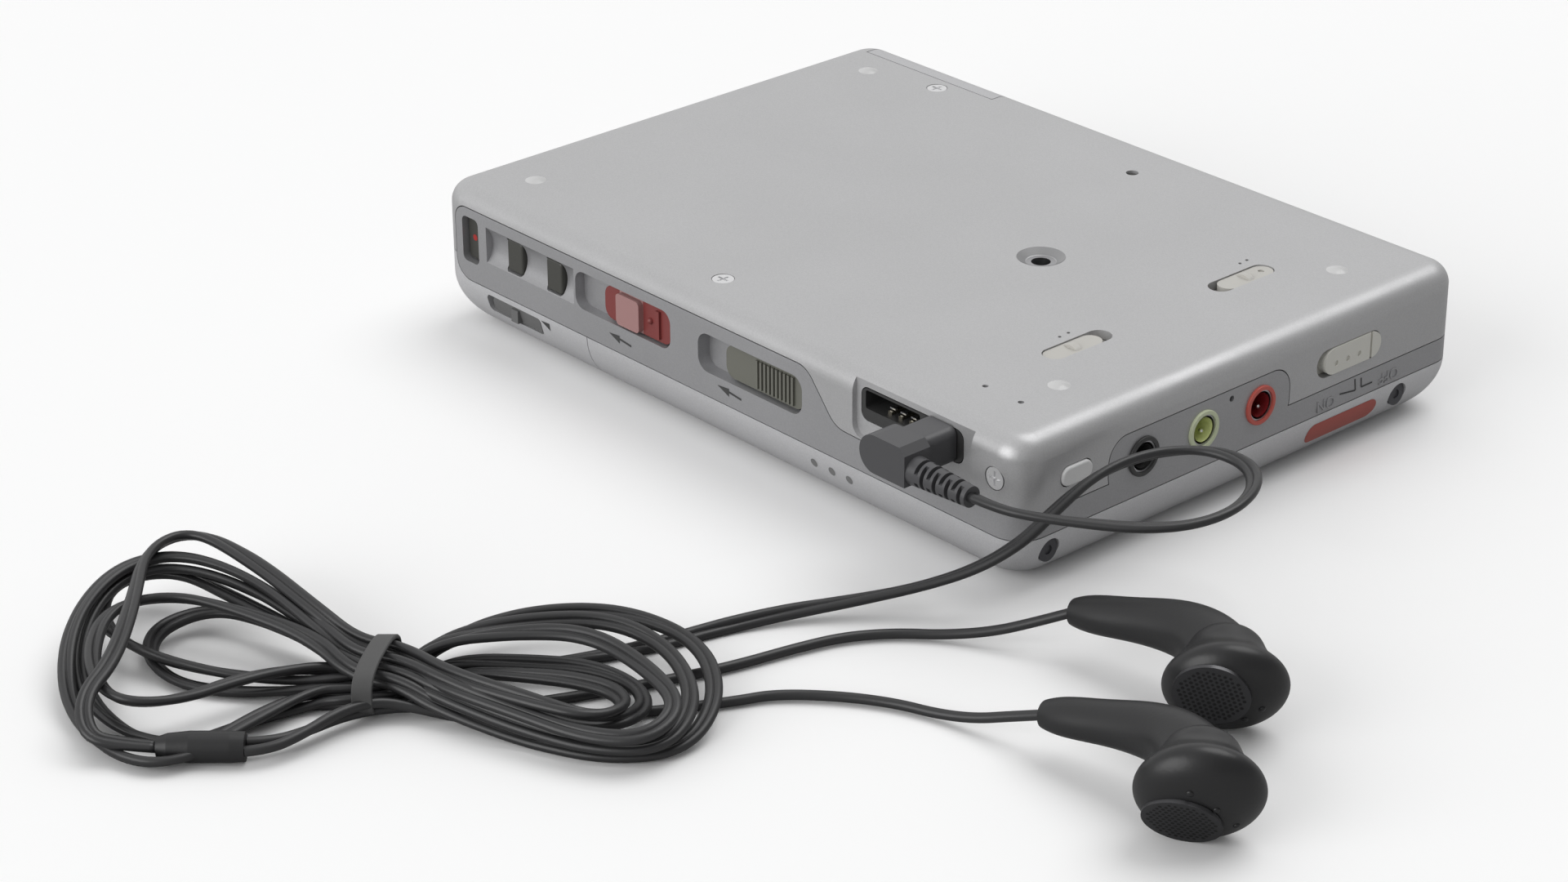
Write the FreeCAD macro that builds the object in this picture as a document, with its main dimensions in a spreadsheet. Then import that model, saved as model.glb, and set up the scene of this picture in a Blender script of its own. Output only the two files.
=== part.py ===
import FreeCAD, Part
import math
import os
import re

import Sketcher
from FreeCAD import Placement, Rotation, Vector

# Portable minidisc recorder, upside down on its lid, with its earphones.
# X runs along the control side, Y from the control side (front) to the hinge (rear), Z up.
# The origin is the middle of the underside. All sizes are in millimetres.

os.makedirs("parts", exist_ok=True)
doc = FreeCAD.newDocument("minidisc_recorder")

# Driving dimensions, one named cell each.
# Places along X are measured from the left or right end of the case, along Y from its front or rear.
DIMENSIONS = {
    "case_width": 109.1,
    "case_depth": 78.6,
    "case_height": 20.0,
    "corner_radius": 4.0,
    "cover_round": 2.9,
    "lid_round": 6.6,
    "wall": 1.1,
    "roof": 1.2,
    "lid_floor": 0.9,
    "lid_inner_round": 4.4,
    "lid_seam": 7.2,
    "cover_seam": 10.4,
    "seam_gap": 0.14,
    "slide_gap": 0.12,
    # Control panel and its step beside the remote socket
    "panel_thickness": 3.0,
    "panel_left": 3.25,
    "panel_top": 17.5,
    "panel_corner": 2.2,
    "panel_low_corner": 3.0,
    "step_from_right": 37.95,
    "step_upper_bend": 3.2,
    "step_lower_bend": 3.6,
    "step_angle": 50,
    "step_low": 11.3,
    # Jack panel
    "jack_panel_thickness": 2.2,
    "jack_panel_front": 14.7,
    "jack_panel_back": 46.3,
    "jack_panel_top": 15.9,
    "jack_panel_corner": 3.0,
    # Lid and fixed top case end
    "split_from_left": 30.55,
    "split_wall": 1.03,
    "hinge_from_rear": 1.5,
    "hinge_height": 5.6,
    "hinge_barrel": 1.5,
    "hinge_pin": 0.6,
    "pin_clearance": 0.06,
    "hinge_ear_from_right": 8.35,
    "hinge_ear_width": 2.6,
    "left_pin_length": 7.0,
    "right_pin_length": 8.0,
    # Battery door
    "door_left": 3.6,
    "door_right": 28.95,
    "door_wrap": 4.2,
    "door_hinge_height": 4.0,
    "door_hinge_from_rear": 1.7,
    "door_barrel": 0.9,
    "door_pin": 0.4,
    # Control side buttons and slides
    "groove_low": 10.9,
    "groove_high": 16.1,
    "button_groove_left": 9.85,
    "button_groove_right": 28.1,
    "button_groove_depth": 1.1,
    "rec_recess_left": 28.45,
    "rec_recess_right": 47.3,
    "rec_recess_depth": 1.5,
    "erase_left": 4.75,
    "erase_width": 3.4,
    "erase_low": 9.9,
    "erase_height": 6.4,
    "erase_depth": 0.9,
    "key_width": 3.4,
    "key_low": 11.1,
    "key_height": 4.7,
    "t_mark_from_left": 15.5,
    "end_search_from_left": 23.8,
    "key_flange": 0.4,
    "board_thickness": 0.6,
    "rec_slide_left": 33.9,
    "rec_slide_length": 13.1,
    "rec_slide_height": 4.6,
    "rec_slide_thickness": 0.9,
    "rec_block_left": 3.0,
    "rec_block_width": 4.5,
    "rec_block_height": 0.75,
    "rec_travel": 4.0,
    "open_recess_left": 52.6,
    "open_recess_right": 71.9,
    "open_recess_depth": 1.9,
    "open_slide_left": 57.2,
    "open_slide_length": 14.3,
    "open_slide_height": 4.5,
    "open_slide_thickness": 1.1,
    "open_travel": 3.5,
    "rib_first": 5.8,
    "rib_pitch": 0.72,
    "rib_width": 0.36,
    "rib_height": 0.35,
    "rib_count": 10,
    "hold_slot_left": 9.45,
    "hold_slot_length": 11.4,
    "hold_slot_height": 2.5,
    "hold_slot_centre": 5.1,
    # Latch under the open slide
    "hook_width": 1.6,
    "hook_thickness": 0.7,
    "hook_tip": 5.6,
    "catch_width": 2.4,
    # Remote socket and headphone jack
    "socket_left_from_right": 27.3,
    "socket_width": 17.2,
    "socket_low": 13.9,
    "socket_height": 4.2,
    "socket_face": 0.7,
    "socket_slot_width": 9.3,
    "socket_slot_height": 2.4,
    "jack_from_right": 13.55,
    "jack_centre": 16.0,
    "jack_bore": 1.8,
    "jack_barrel": 2.0,
    "jack_length": 12.5,
    # Jack side
    "side_jack_height": 12.2,
    "line_out_from_front": 20.5,
    "line_in_from_front": 30.9,
    "mic_from_front": 41.0,
    "ring_radius": 2.55,
    "ring_proud": 0.35,
    "bass_from_front": 9.2,
    "bass_height": 13.85,
    "bass_length": 5.0,
    "bass_width": 2.5,
    "synchro_from_front": 57.25,
    "synchro_height": 13.85,
    "synchro_slot": 12.0,
    "synchro_width": 3.75,
    "synchro_knob": 10.5,
    # Base cover details
    "base_slot_length": 10.8,
    "base_slot_width": 3.2,
    "round_spare": 0.02,
    "ridge_half": 0.45,
    "base_knob_length": 9.0,
    "base_slot_from_right": 15.4,
    "avls_from_front": 24.9,
    "mic_sens_from_front": 54.15,
    "foot_radius": 1.4,
    "foot_height": 0.35,
    "screw_head": 1.4,
    "screw_shank": 0.7,
    "insert_from_left": 72.15,
    "insert_from_front": 40.5,
    "insert_bore": 1.25,
    "insert_outer": 1.9,
    "insert_length": 3.6,
    "dish_radius": 3.2,
    "dish_depth": 0.7,
    "clock_from_left": 60.75,
    "clock_from_front": 69.2,
    "clock_hole": 0.85,
    # Disc bay, measured from the right end and the rear
    "disc_bay_width": 72.0,
    "disc_bay_depth": 68.0,
    "bay_centre_from_right": 40.15,
    "bay_back_from_rear": 5.8,
    "holder_plate": 0.25,
    "holder_floor": 1.7,
    "holder_top": 7.4,
    "holder_lip": 3.5,
    "holder_sheet": 0.3,
    "holder_pin": 0.4,
    "holder_pivot_height": 6.0,
    "holder_pivot_from_rear": 4.3,
    "chassis_low": 7.7,
    "chassis_sheet": 0.6,
    # Drive parts
    "turntable_radius": 5.2,
    "turntable_nose": 6.3,
    "spindle_radius": 0.6,
    "motor_radius": 9.0,
    "motor_height": 3.0,
    "guide_shaft": 0.8,
    "guide_offset": 11.5,
    "guide_height": 11.0,
    "lead_screw_radius": 0.9,
    "lead_screw_offset": 16.0,
    "lead_screw_height": 11.6,
    "sled_motor_radius": 2.9,
    "sled_motor_length": 12.0,
    "sled_travel": 14.6,
    "lens_from_centre": 14.5,
    "lens_radius": 2.2,
    "arm_plate": 0.2,
    "arm_floor": 1.25,
    "arm_width": 5.0,
    # Boards and battery
    "main_board_low": 14.7,
    "main_board_thickness": 0.8,
    "battery_width": 23.0,
    "battery_length": 63.0,
    "battery_thickness": 10.0,
    "battery_floor": 3.6,
    # Display and playback keys
    "display_width": 16.0,
    "display_length": 32.0,
    "play_key_length": 7.0,
    "play_key_width": 4.4,
}

sheet = doc.addObject("Spreadsheet::Sheet", "dims")
for row, (alias, size) in enumerate(DIMENSIONS.items(), start=1):
    sheet.set(f"A{row}", alias)
    sheet.set(f"B{row}", str(size))
    sheet.setAlias(f"B{row}", alias)
doc.recompute()

ALIASES = re.compile(r"\b(" + "|".join(sorted(DIMENSIONS, key=len, reverse=True)) + r")\b")
NODES = []


def bind(target, path, expression):
    """Bind a property to an expression of the sheet's cells."""
    target.setExpression(path, ALIASES.sub(r"dims.\1", str(expression)))


def number(expression):
    """Value of an expression of the sheet's cells."""
    return float(sheet.evalExpression(str(expression)))


def node(label, shape_object):
    """Name a finished piece: the label is its file name."""
    shape_object.Label = label
    NODES.append((label, shape_object))
    return shape_object


# Places from the ends of the case
def from_left(distance):
    return f"(-case_width / 2 + ({distance}))"


def from_right(distance):
    return f"(case_width / 2 - ({distance}))"


def from_front(distance):
    return f"(-case_depth / 2 + ({distance}))"


def from_rear(distance):
    return f"(case_depth / 2 - ({distance}))"


# Primitives
def block(name, along_x, along_y, along_z):
    """Box between two limits on each axis."""
    solid = doc.addObject("Part::Box", name)
    limits = (("x", "Length", along_x), ("y", "Width", along_y), ("z", "Height", along_z))
    for axis, side, (low, high) in limits:
        bind(solid, side, f"({high}) - ({low})")
        bind(solid, f"Placement.Base.{axis}", low)
    return solid


TURNS = {
    "X": Rotation(Vector(0, 1, 0), 90),
    "Y": Rotation(Vector(1, 0, 0), -90),
    "Z": Rotation(),
}


def rod(name, axis, start, length, radius):
    """Cylinder that starts at a point and runs along +X, +Y or +Z."""
    solid = doc.addObject("Part::Cylinder", name)
    bind(solid, "Radius", radius)
    bind(solid, "Height", length)
    solid.Placement = Placement(Vector(), TURNS[axis])
    for letter, place in zip("xyz", start):
        bind(solid, f"Placement.Base.{letter}", place)
    return solid


def taper(name, axis, start, length, radius_low, radius_high):
    """Cone that starts at a point and runs along +X, +Y or +Z."""
    solid = doc.addObject("Part::Cone", name)
    bind(solid, "Radius1", radius_low)
    bind(solid, "Radius2", radius_high)
    bind(solid, "Height", length)
    solid.Placement = Placement(Vector(), TURNS[axis])
    for letter, place in zip("xyz", start):
        bind(solid, f"Placement.Base.{letter}", place)
    return solid


def ball(name, centre, radius):
    solid = doc.addObject("Part::Sphere", name)
    bind(solid, "Radius", radius)
    for letter, place in zip("xyz", centre):
        bind(solid, f"Placement.Base.{letter}", place)
    return solid


def join(name, *solids):
    fused = doc.addObject("Part::MultiFuse", name)
    fused.Shapes = list(solids)
    fused.Refine = True
    return fused


def cut(name, base, *tools):
    tool = tools[0] if len(tools) == 1 else join(name + "_tools", *tools)
    result = doc.addObject("Part::Cut", name)
    result.Base = base
    result.Tool = tool
    return result


def shared(name, first, second):
    """Common part of two solids."""
    result = doc.addObject("Part::Common", name)
    result.Base = first
    result.Tool = second
    return result


def group(name, *solids):
    """Separate solids that share a node."""
    compound = doc.addObject("Part::Compound", name)
    compound.Links = list(solids)
    return compound


def rounded(name, base, radius, chooser):
    """Fillet of the edges that the chooser picks."""
    doc.recompute()
    size = number(radius)
    picked = [i for i, edge in enumerate(base.Shape.Edges, start=1) if chooser(edge)]
    result = doc.addObject("Part::Fillet", name)
    result.Base = base
    result.Edges = [(i, size, size) for i in picked]
    return result


# Sketches and bodies
def origin_plane(body, role):
    return [feature for feature in body.Origin.OriginFeatures if feature.Role == role][0]


def attach(sketch, body, role, offset):
    sketch.AttachmentSupport = [(origin_plane(body, role), "")]
    sketch.MapMode = "FlatFace"
    bind(sketch, "AttachmentOffset.Base.z", offset)


def name_size(sketch, constraint, name, expression):
    """Add a driving constraint and bind it to the sheet."""
    index = sketch.addConstraint(constraint)
    sketch.renameConstraint(index, name)
    bind(sketch, f"Constraints.{name}", expression)


def round_rectangle(body, name, role, offset, centre, width, height, radius):
    """Rectangle with round corners, its width, height, radius and place bound to the sheet."""
    sketch = body.newObject("Sketcher::SketchObject", name)
    attach(sketch, body, role, offset)
    middle = Vector(number(centre[0]), number(centre[1]), 0)
    half = Vector(number(width) / 2, number(height) / 2, 0)
    corner = number(radius)
    signs = ((1, 1), (-1, 1), (-1, -1), (1, -1))
    arcs = []
    for turn, (sign_x, sign_y) in enumerate(signs):
        arc_centre = middle + Vector(sign_x * (half.x - corner), sign_y * (half.y - corner), 0)
        circle = Part.Circle(arc_centre, Vector(0, 0, 1), corner)
        start = turn * math.pi / 2
        arcs.append(sketch.addGeometry(Part.ArcOfCircle(circle, start, start + math.pi / 2)))
    lines = []
    for turn in range(4):
        start = sketch.getPoint(arcs[turn], 2)
        end = sketch.getPoint(arcs[(turn + 1) % 4], 1)
        lines.append(sketch.addGeometry(Part.LineSegment(start, end)))
    for turn in range(4):
        sketch.addConstraint(Sketcher.Constraint("Tangent", arcs[turn], 2, lines[turn], 1))
        after = arcs[(turn + 1) % 4]
        sketch.addConstraint(Sketcher.Constraint("Tangent", lines[turn], 2, after, 1))
    sketch.addConstraint(Sketcher.Constraint("Horizontal", lines[0]))
    sketch.addConstraint(Sketcher.Constraint("Vertical", lines[1]))
    sketch.addConstraint(Sketcher.Constraint("Horizontal", lines[2]))
    for turn in range(1, 4):
        sketch.addConstraint(Sketcher.Constraint("Equal", arcs[0], arcs[turn]))
    name_size(sketch, Sketcher.Constraint("Radius", arcs[0], corner), "corner", radius)
    across = Sketcher.Constraint("DistanceX", arcs[1], 3, arcs[0], 3, 2 * (half.x - corner))
    name_size(sketch, across, "across", f"({width}) - 2 * ({radius})")
    up = Sketcher.Constraint("DistanceY", arcs[3], 3, arcs[0], 3, 2 * (half.y - corner))
    name_size(sketch, up, "up", f"({height}) - 2 * ({radius})")
    place_x = Sketcher.Constraint("DistanceX", -1, 1, arcs[0], 3, middle.x + half.x - corner)
    name_size(sketch, place_x, "place_x", f"({centre[0]}) + ({width}) / 2 - ({radius})")
    place_y = Sketcher.Constraint("DistanceY", -1, 1, arcs[0], 3, middle.y + half.y - corner)
    name_size(sketch, place_y, "place_y", f"({centre[1]}) + ({height}) / 2 - ({radius})")
    return sketch


def outline(body, name, role, offset, edges):
    """Sketch of given edges: straight runs as two points, arcs as three."""
    sketch = body.newObject("Sketcher::SketchObject", name)
    attach(sketch, body, role, offset)
    for points in edges:
        places = [Vector(x, y, 0) for x, y in points]
        if len(places) == 2:
            sketch.addGeometry(Part.LineSegment(*places))
        else:
            sketch.addGeometry(Part.Arc(*places))
    return sketch


def pad(body, name, sketch, length):
    feature = body.newObject("PartDesign::Pad", name)
    feature.Profile = sketch
    bind(feature, "Length", length)
    return feature


def padded_round(name, role, offset, centre, width, height, radius, length):
    """Body made by padding one rounded rectangle."""
    body = doc.addObject("PartDesign::Body", name)
    sketch = round_rectangle(body, name + "_outline", role, offset, centre, width, height, radius)
    pad(body, name + "_pad", sketch, length)
    return body


def padded_outline(name, role, offset, edges, length):
    """Body made by padding a free outline."""
    body = doc.addObject("PartDesign::Body", name)
    pad(body, name + "_pad", outline(body, name + "_outline", role, offset, edges), length)
    return body


def dress(body, name, radius, chooser):
    """Fillet the chosen edges of a body's tip."""
    doc.recompute()
    tip = body.Tip
    picked = [f"Edge{i}" for i, edge in enumerate(tip.Shape.Edges, start=1) if chooser(edge)]
    feature = body.newObject("PartDesign::Fillet", name)
    feature.Base = (tip, picked)
    bind(feature, "Radius", radius)
    return feature


def revolved(name, points, place, axis):
    """Body of revolution from a profile of (radius, height) points, stood on a point along an axis."""
    body = doc.addObject("PartDesign::Body", name)
    closed = list(points) + [points[0]]
    edges = [(closed[i], closed[i + 1]) for i in range(len(points))]
    sketch = outline(body, name + "_profile", "XZ_Plane", "0", edges)
    feature = body.newObject("PartDesign::Revolution", name + "_turn")
    feature.Profile = sketch
    feature.ReferenceAxis = (sketch, ["V_Axis"])
    feature.Angle = 360
    body.Placement = Placement(Vector(), TURNS[axis])
    for letter, coordinate in zip("xyz", place):
        bind(body, f"Placement.Base.{letter}", coordinate)
    return body


def polygon_edges(points):
    """Closed run of straight edges."""
    closed = list(points) + [points[0]]
    return [(closed[i], closed[i + 1]) for i in range(len(points))]


def level(edge, height):
    """True if an edge lies flat at a height."""
    box = edge.BoundBox
    return abs(box.ZMin - height) < 1e-4 and abs(box.ZMax - height) < 1e-4


# Outer and inner forms of the case
LOFT_STEPS = 6


def upper_form(name, inset, top, edge_round, low):
    """Upper half of the case: a rounded block with a rolled top edge."""
    body = padded_round(
        name, "XY_Plane", low, ("0", "0"),
        f"case_width - 2 * ({inset})", f"case_depth - 2 * ({inset})",
        f"corner_radius - ({inset})", f"({top}) - ({low})",
    )
    dress(body, name + "_edge", edge_round, lambda edge: level(edge, number(top)))
    return body


def lower_form(name, inset, floor, draw_in):
    """Lid half of the case: sections that draw in along a quarter ellipse down to the floor."""
    body = doc.addObject("PartDesign::Body", name)
    sections = []
    for step in range(LOFT_STEPS + 1):
        angle = 90 * step / LOFT_STEPS
        draw = f"(({inset}) + ({draw_in}) * (1 - cos({angle} deg)))"
        height = f"({floor}) + (lid_seam - ({floor})) * (1 - sin({angle} deg))"
        sections.append(round_rectangle(
            body, f"{name}_section_{step}", "XY_Plane", height, ("0", "0"),
            f"case_width - 2 * {draw}", f"case_depth - 2 * {draw}", f"corner_radius - ({inset})",
        ))
    feature = body.newObject("PartDesign::AdditiveLoft", name + "_loft")
    feature.Profile = sections[0]
    feature.Sections = [(section, [""]) for section in sections[1:]]
    return body


half_gap = "seam_gap / 2"
upper_outer = upper_form("upper_outer", "0", "case_height", "cover_round", "lid_seam")
upper_inner = upper_form(
    "upper_inner", "wall", "case_height - roof", "cover_round - wall", "lid_seam - wall",
)
lower_outer = lower_form("lower_outer", "0", "0", "lid_round")
lower_inner = lower_form("lower_inner", "wall", "lid_floor", "lid_inner_round")
upper_shell = cut("upper_shell", upper_outer, upper_inner)
lower_shell = cut("lower_shell", lower_outer, lower_inner)

LEFT_END = from_left("-5")
RIGHT_END = from_right("-5")
FRONT_END = from_front("-5")
REAR_END = from_rear("-5")
split = from_left("split_from_left")


# Control panel outline: square at the left, stepping down to the right beside the remote socket
def panel_edges(grow):
    """Outline of the control panel in X and Z, grown by a gap."""
    left = number(from_left("panel_left")) - grow
    top = number("panel_top") + grow
    low = number("lid_seam") + number(half_gap) - grow
    right = number(from_right("-5"))
    corner = number("panel_corner") + grow
    low_corner = number("panel_low_corner") + grow
    step_start = number(from_right("step_from_right"))
    upper = number("step_upper_bend") + grow
    lower = number("step_lower_bend") - grow
    turn = math.radians(number("step_angle"))
    step_low = number("step_low") + grow
    end_low = number("cover_seam") + grow
    diagonal = math.sqrt(0.5)

    def around(centre_x, centre_z, radius, angle):
        return centre_x + radius * math.cos(angle), centre_z + radius * math.sin(angle)

    drop = top - step_low - (upper + lower) * (1 - math.cos(turn))
    run = drop / math.tan(turn)
    upper_centre = (step_start, top - upper)
    upper_end = around(*upper_centre, upper, math.pi / 2 - turn)
    lower_start = (upper_end[0] + run, upper_end[1] - drop)
    lower_centre = (lower_start[0] + lower * math.sin(turn), lower_start[1] + lower * math.cos(turn))
    lower_end = (lower_centre[0], step_low)
    return [
        ((left, low + low_corner), (left, top - corner)),
        (
            (left, top - corner),
            (left + corner * (1 - diagonal), top - corner * (1 - diagonal)),
            (left + corner, top),
        ),
        ((left + corner, top), (step_start, top)),
        (
            (step_start, top),
            around(*upper_centre, upper, math.pi / 2 - turn / 2),
            upper_end,
        ),
        (upper_end, lower_start),
        (
            lower_start,
            around(*lower_centre, lower, -math.pi / 2 - turn / 2),
            lower_end,
        ),
        (lower_end, (right, end_low)),
        ((right, end_low), (right, low)),
        ((right, low), (left + low_corner, low)),
        (
            (left + low_corner, low),
            (left + low_corner * (1 - diagonal), low + low_corner * (1 - diagonal)),
            (left, low + low_corner),
        ),
    ]


gap = number("seam_gap")
panel_zone = padded_outline(
    "panel_zone", "XZ_Plane", "case_depth / 2 - panel_thickness", panel_edges(0),
    "panel_thickness + 5",
)
panel_zone_grown = padded_outline(
    "panel_zone_grown", "XZ_Plane", "case_depth / 2 - panel_thickness - 0.3", panel_edges(gap),
    "panel_thickness + 5",
)


def jack_zone(name, grow):
    """Block that stands up from the side trim and carries the three side jacks."""
    depth = f"jack_panel_back - jack_panel_front + 2 * ({grow})"
    middle = from_front("(jack_panel_front + jack_panel_back) / 2")
    height = f"jack_panel_top - lid_seam - wall + 2 * ({grow})"
    return padded_round(
        name, "YZ_Plane", f"case_width / 2 - jack_panel_thickness - ({grow})",
        (middle, "(jack_panel_top + lid_seam + wall) / 2"), depth, height,
        f"jack_panel_corner + ({grow})", "jack_panel_thickness + 5",
    )


jack_zone_part = jack_zone("jack_zone_part", "0")
jack_zone_grown = jack_zone("jack_zone_grown", "seam_gap")

# Battery door zone: the rear wall at the left and a strip of the base above it
door_x = (from_left("door_left"), from_left("door_right"))
door_grown_x = (from_left("door_left - seam_gap"), from_left("door_right + seam_gap"))
door_zone = join(
    "door_zone",
    block("door_zone_wall", door_x, (from_rear("2.2"), REAR_END), ("door_hinge_height", "case_height")),
    block("door_zone_wrap", door_x, (from_rear("door_wrap"), REAR_END), ("case_height - roof - 0.3", "30")),
)
door_zone_grown = join(
    "door_zone_grown",
    block(
        "door_grown_wall", door_grown_x, (from_rear("2.4"), REAR_END),
        ("door_hinge_height - door_barrel - 0.3", "case_height"),
    ),
    block(
        "door_grown_wrap", door_grown_x, (from_rear("door_wrap + seam_gap"), REAR_END),
        ("case_height - roof - 1", "30"),
    ),
)

# Side trim: the band round the seam with the control panel, the jack panel and the hinge ear
trim_left = from_left("door_right + seam_gap")
trim_low = "lid_seam + seam_gap / 2"
trim_top = "cover_seam - seam_gap / 2"
cover_low = "cover_seam + seam_gap / 2"
lid_top = "lid_seam - seam_gap / 2"
hinge_y = from_rear("hinge_from_rear")
ear_left = from_right("hinge_ear_from_right")
ear_right = from_right("hinge_ear_from_right - hinge_ear_width")
groove_middle = "(groove_low + groove_high) / 2"
groove_tall = "groove_high - groove_low"
open_middle = "(groove_middle_height - 0.4)".replace("groove_middle_height", groove_middle)


def front_plate(name, middle_x, middle_z, width, height, radius, low_y, high_y):
    """Rounded plate that faces the front, between two depths measured from the front."""
    return padded_round(
        name, "XZ_Plane", f"case_depth / 2 - ({high_y})", (middle_x, middle_z),
        width, height, radius, f"({high_y}) - ({low_y})",
    )


def base_plate(name, middle_x, middle_y, width, depth, radius, low_z, high_z):
    """Rounded plate that lies flat between two heights."""
    return padded_round(
        name, "XY_Plane", low_z, (middle_x, middle_y), width, depth, radius,
        f"({high_z}) - ({low_z})",
    )


def side_plate(name, middle_y, middle_z, width, height, radius, low_x, high_x):
    """Rounded plate that faces the jack side, between two depths measured from the right end."""
    return padded_round(
        name, "YZ_Plane", f"case_width / 2 - ({high_x})", (middle_y, middle_z),
        width, height, radius, f"({high_x}) - ({low_x})",
    )


ring = shared("trim_ring", upper_shell, block(
    "trim_ring_zone", (trim_left, RIGHT_END), (FRONT_END, REAR_END), (trim_low, trim_top),
))
panel = shared("panel_slab", panel_zone, upper_outer)
jack_slab = shared("jack_slab", jack_zone_part, upper_outer)
ear = shared("hinge_ear", upper_outer, block(
    "hinge_ear_root", (ear_left, ear_right), (from_rear("2.8"), from_rear("0.3")),
    (trim_low, "cover_seam - 1"),
))
ear_low = block(
    "hinge_ear_web", (ear_left, ear_right), (from_rear("2.8"), from_rear("0.25")),
    ("hinge_height", "lid_seam + 0.5"),
)
ear_round = rod(
    "hinge_ear_round", "X", (ear_left, hinge_y, "hinge_height"), "hinge_ear_width",
    "hinge_barrel - 0.2",
)
screw_shelf = block(
    "screw_shelf", (from_left("48.5"), from_left("52")), (from_front("panel_thickness - 0.2"), from_front("7.9")),
    ("15.6", "17.1"),
)
trim_solid = join("trim_solid", ring, panel, jack_slab, ear, ear_low, ear_round, screw_shelf)

# Openings in the control panel
button_groove = rod(
    "button_groove", "X",
    (from_left("button_groove_left"), from_front("button_groove_depth - 3.4"), groove_middle),
    "button_groove_right - button_groove_left", "3.4",
)
erase_middle = from_left("(erase_left + erase_width / 2)")
erase_mid_z = "erase_low + erase_height / 2"
key_mid_z = "key_low + key_height / 2"
t_mark_middle = from_left("t_mark_from_left")
end_search_middle = from_left("end_search_from_left")
rec_mid = from_left("(rec_recess_left + rec_recess_right) / 2")
open_mid = from_left("(open_recess_left + open_recess_right) / 2")
rec_slide_mid = from_left("(rec_slide_left + rec_slide_length / 2)")
open_slide_mid = from_left("(open_slide_left + open_slide_length / 2)")
through = ("-1", "panel_thickness + 1")
erase_hole = front_plate(
    "erase_hole", erase_middle, erase_mid_z, "erase_width", "erase_height", "0.8", *through,
)
t_mark_hole = front_plate(
    "t_mark_hole", t_mark_middle, key_mid_z, "key_width", "key_height", "0.5", *through,
)
end_search_hole = front_plate(
    "end_search_hole", end_search_middle, key_mid_z, "key_width", "key_height", "0.5", *through,
)
rec_recess = front_plate(
    "rec_recess", rec_mid, groove_middle, "rec_recess_right - rec_recess_left", groove_tall,
    "1.6", "-1", "rec_recess_depth",
)
open_recess = front_plate(
    "open_recess", open_mid, open_middle, "open_recess_right - open_recess_left", groove_tall,
    "1.8", "-1", "open_recess_depth",
)
stem_height = "1.6"


def stem_slot(name, middle_x, middle_z, stem_width, travel):
    """Slot behind a slide, as long as its stem and its travel to the left."""
    return block(
        name,
        (f"{middle_x} - ({stem_width}) / 2 - ({travel}) - slide_gap",
         f"{middle_x} + ({stem_width}) / 2 + slide_gap"),
        (from_front("0.5"), from_front("panel_thickness + 1")),
        (f"{middle_z} - {stem_height} / 2 - slide_gap", f"{middle_z} + {stem_height} / 2 + slide_gap"),
    )


rec_slot = stem_slot("rec_slot", rec_slide_mid, groove_middle, "3", "rec_travel")
open_slot = stem_slot("open_slot", open_slide_mid, open_middle, "3", "open_travel")

# Jacks and switch on the jack side
line_out_y = from_front("line_out_from_front")
line_in_y = from_front("line_in_from_front")
mic_y = from_front("mic_from_front")
SIDE_JACKS = (("line_out", line_out_y), ("line_in", line_in_y), ("mic", mic_y))
side_holes = [
    rod(
        f"{jack}_hole", "X", (from_right("jack_panel_thickness + 1"), y, "side_jack_height"),
        "10", "jack_barrel + 0.05",
    )
    for jack, y in SIDE_JACKS
]
pin_hole = rod(
    "side_pinhole", "X", (from_right("1.2"), from_front("35.8"), "14.7"), "5", "0.4",
)
bass_y = from_front("bass_from_front")
synchro_y = from_front("synchro_from_front")
side_trim = node("side_trim", cut(
    "side_trim_cut", trim_solid, button_groove, erase_hole, t_mark_hole, end_search_hole,
    rec_recess, open_recess, rec_slot, open_slot, *side_holes, pin_hole,
    rod("screw_shelf_bore", "Z", (from_left("50.25"), from_front("6.3"), "14"), "5", "screw_shank"),
    rod(
        "ear_pin_hole", "X", (f"{ear_left} - 1", hinge_y, "hinge_height"),
        "hinge_ear_width + 2", "hinge_pin",
    ),
))

# Base cover with its dish, slots, screw seats and the recess round the remote socket
slot_x = from_right("base_slot_from_right")
avls_y = from_front("avls_from_front")
mic_sens_y = from_front("mic_sens_from_front")
insert_x = from_left("insert_from_left")
insert_y = from_front("insert_from_front")
clock_x = from_left("clock_from_left")
clock_y = from_front("clock_from_front")
roof_low = "case_height - roof"
over = "case_height + 2"
jack_x = from_right("jack_from_right")
socket_left = from_right("socket_left_from_right")
socket_mid_x = f"{socket_left} + socket_width / 2"
socket_mid_z = "socket_low + socket_height / 2"
BASE_SCREWS = (("rear", from_left("20.65"), from_front("71.8")), ("front", from_left("50.25"), from_front("6.3")))
FEET = (
    (from_left("9.2"), from_rear("9.3")), (from_left("9.2"), from_front("9.1")),
    (from_right("8.9"), from_front("15.2")), (from_right("9.0"), from_rear("13.7")),
)
cover_wall = shared("cover_wall", upper_shell, block(
    "cover_zone", (LEFT_END, RIGHT_END), (FRONT_END, REAR_END), (cover_low, over),
))
cover_backing = block(
    "cover_backing", (from_right("30.5"), from_right("3")), (from_front("0.9"), from_front("2.2")),
    (cover_low, f"{roof_low} + 0.1"),
)
insert_boss = rod(
    "insert_boss", "Z", (insert_x, insert_y, f"{roof_low} - 2.8"), "roof + 2", "insert_outer + 1.1",
)
screw_bosses = [
    rod(f"{name}_screw_boss", "Z", (x, y, f"{roof_low} - 1.6"), "2", "screw_head + 0.5")
    for name, x, y in BASE_SCREWS
]
DAMPERS = (
    ("front_left", from_left("35.0"), from_front("7.8")), ("front_right", from_right("5.6"), from_front("7.8")),
    ("rear_left", from_left("35.0"), from_rear("7.8")), ("rear_right", from_right("5.6"), from_rear("7.8")),
)
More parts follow.
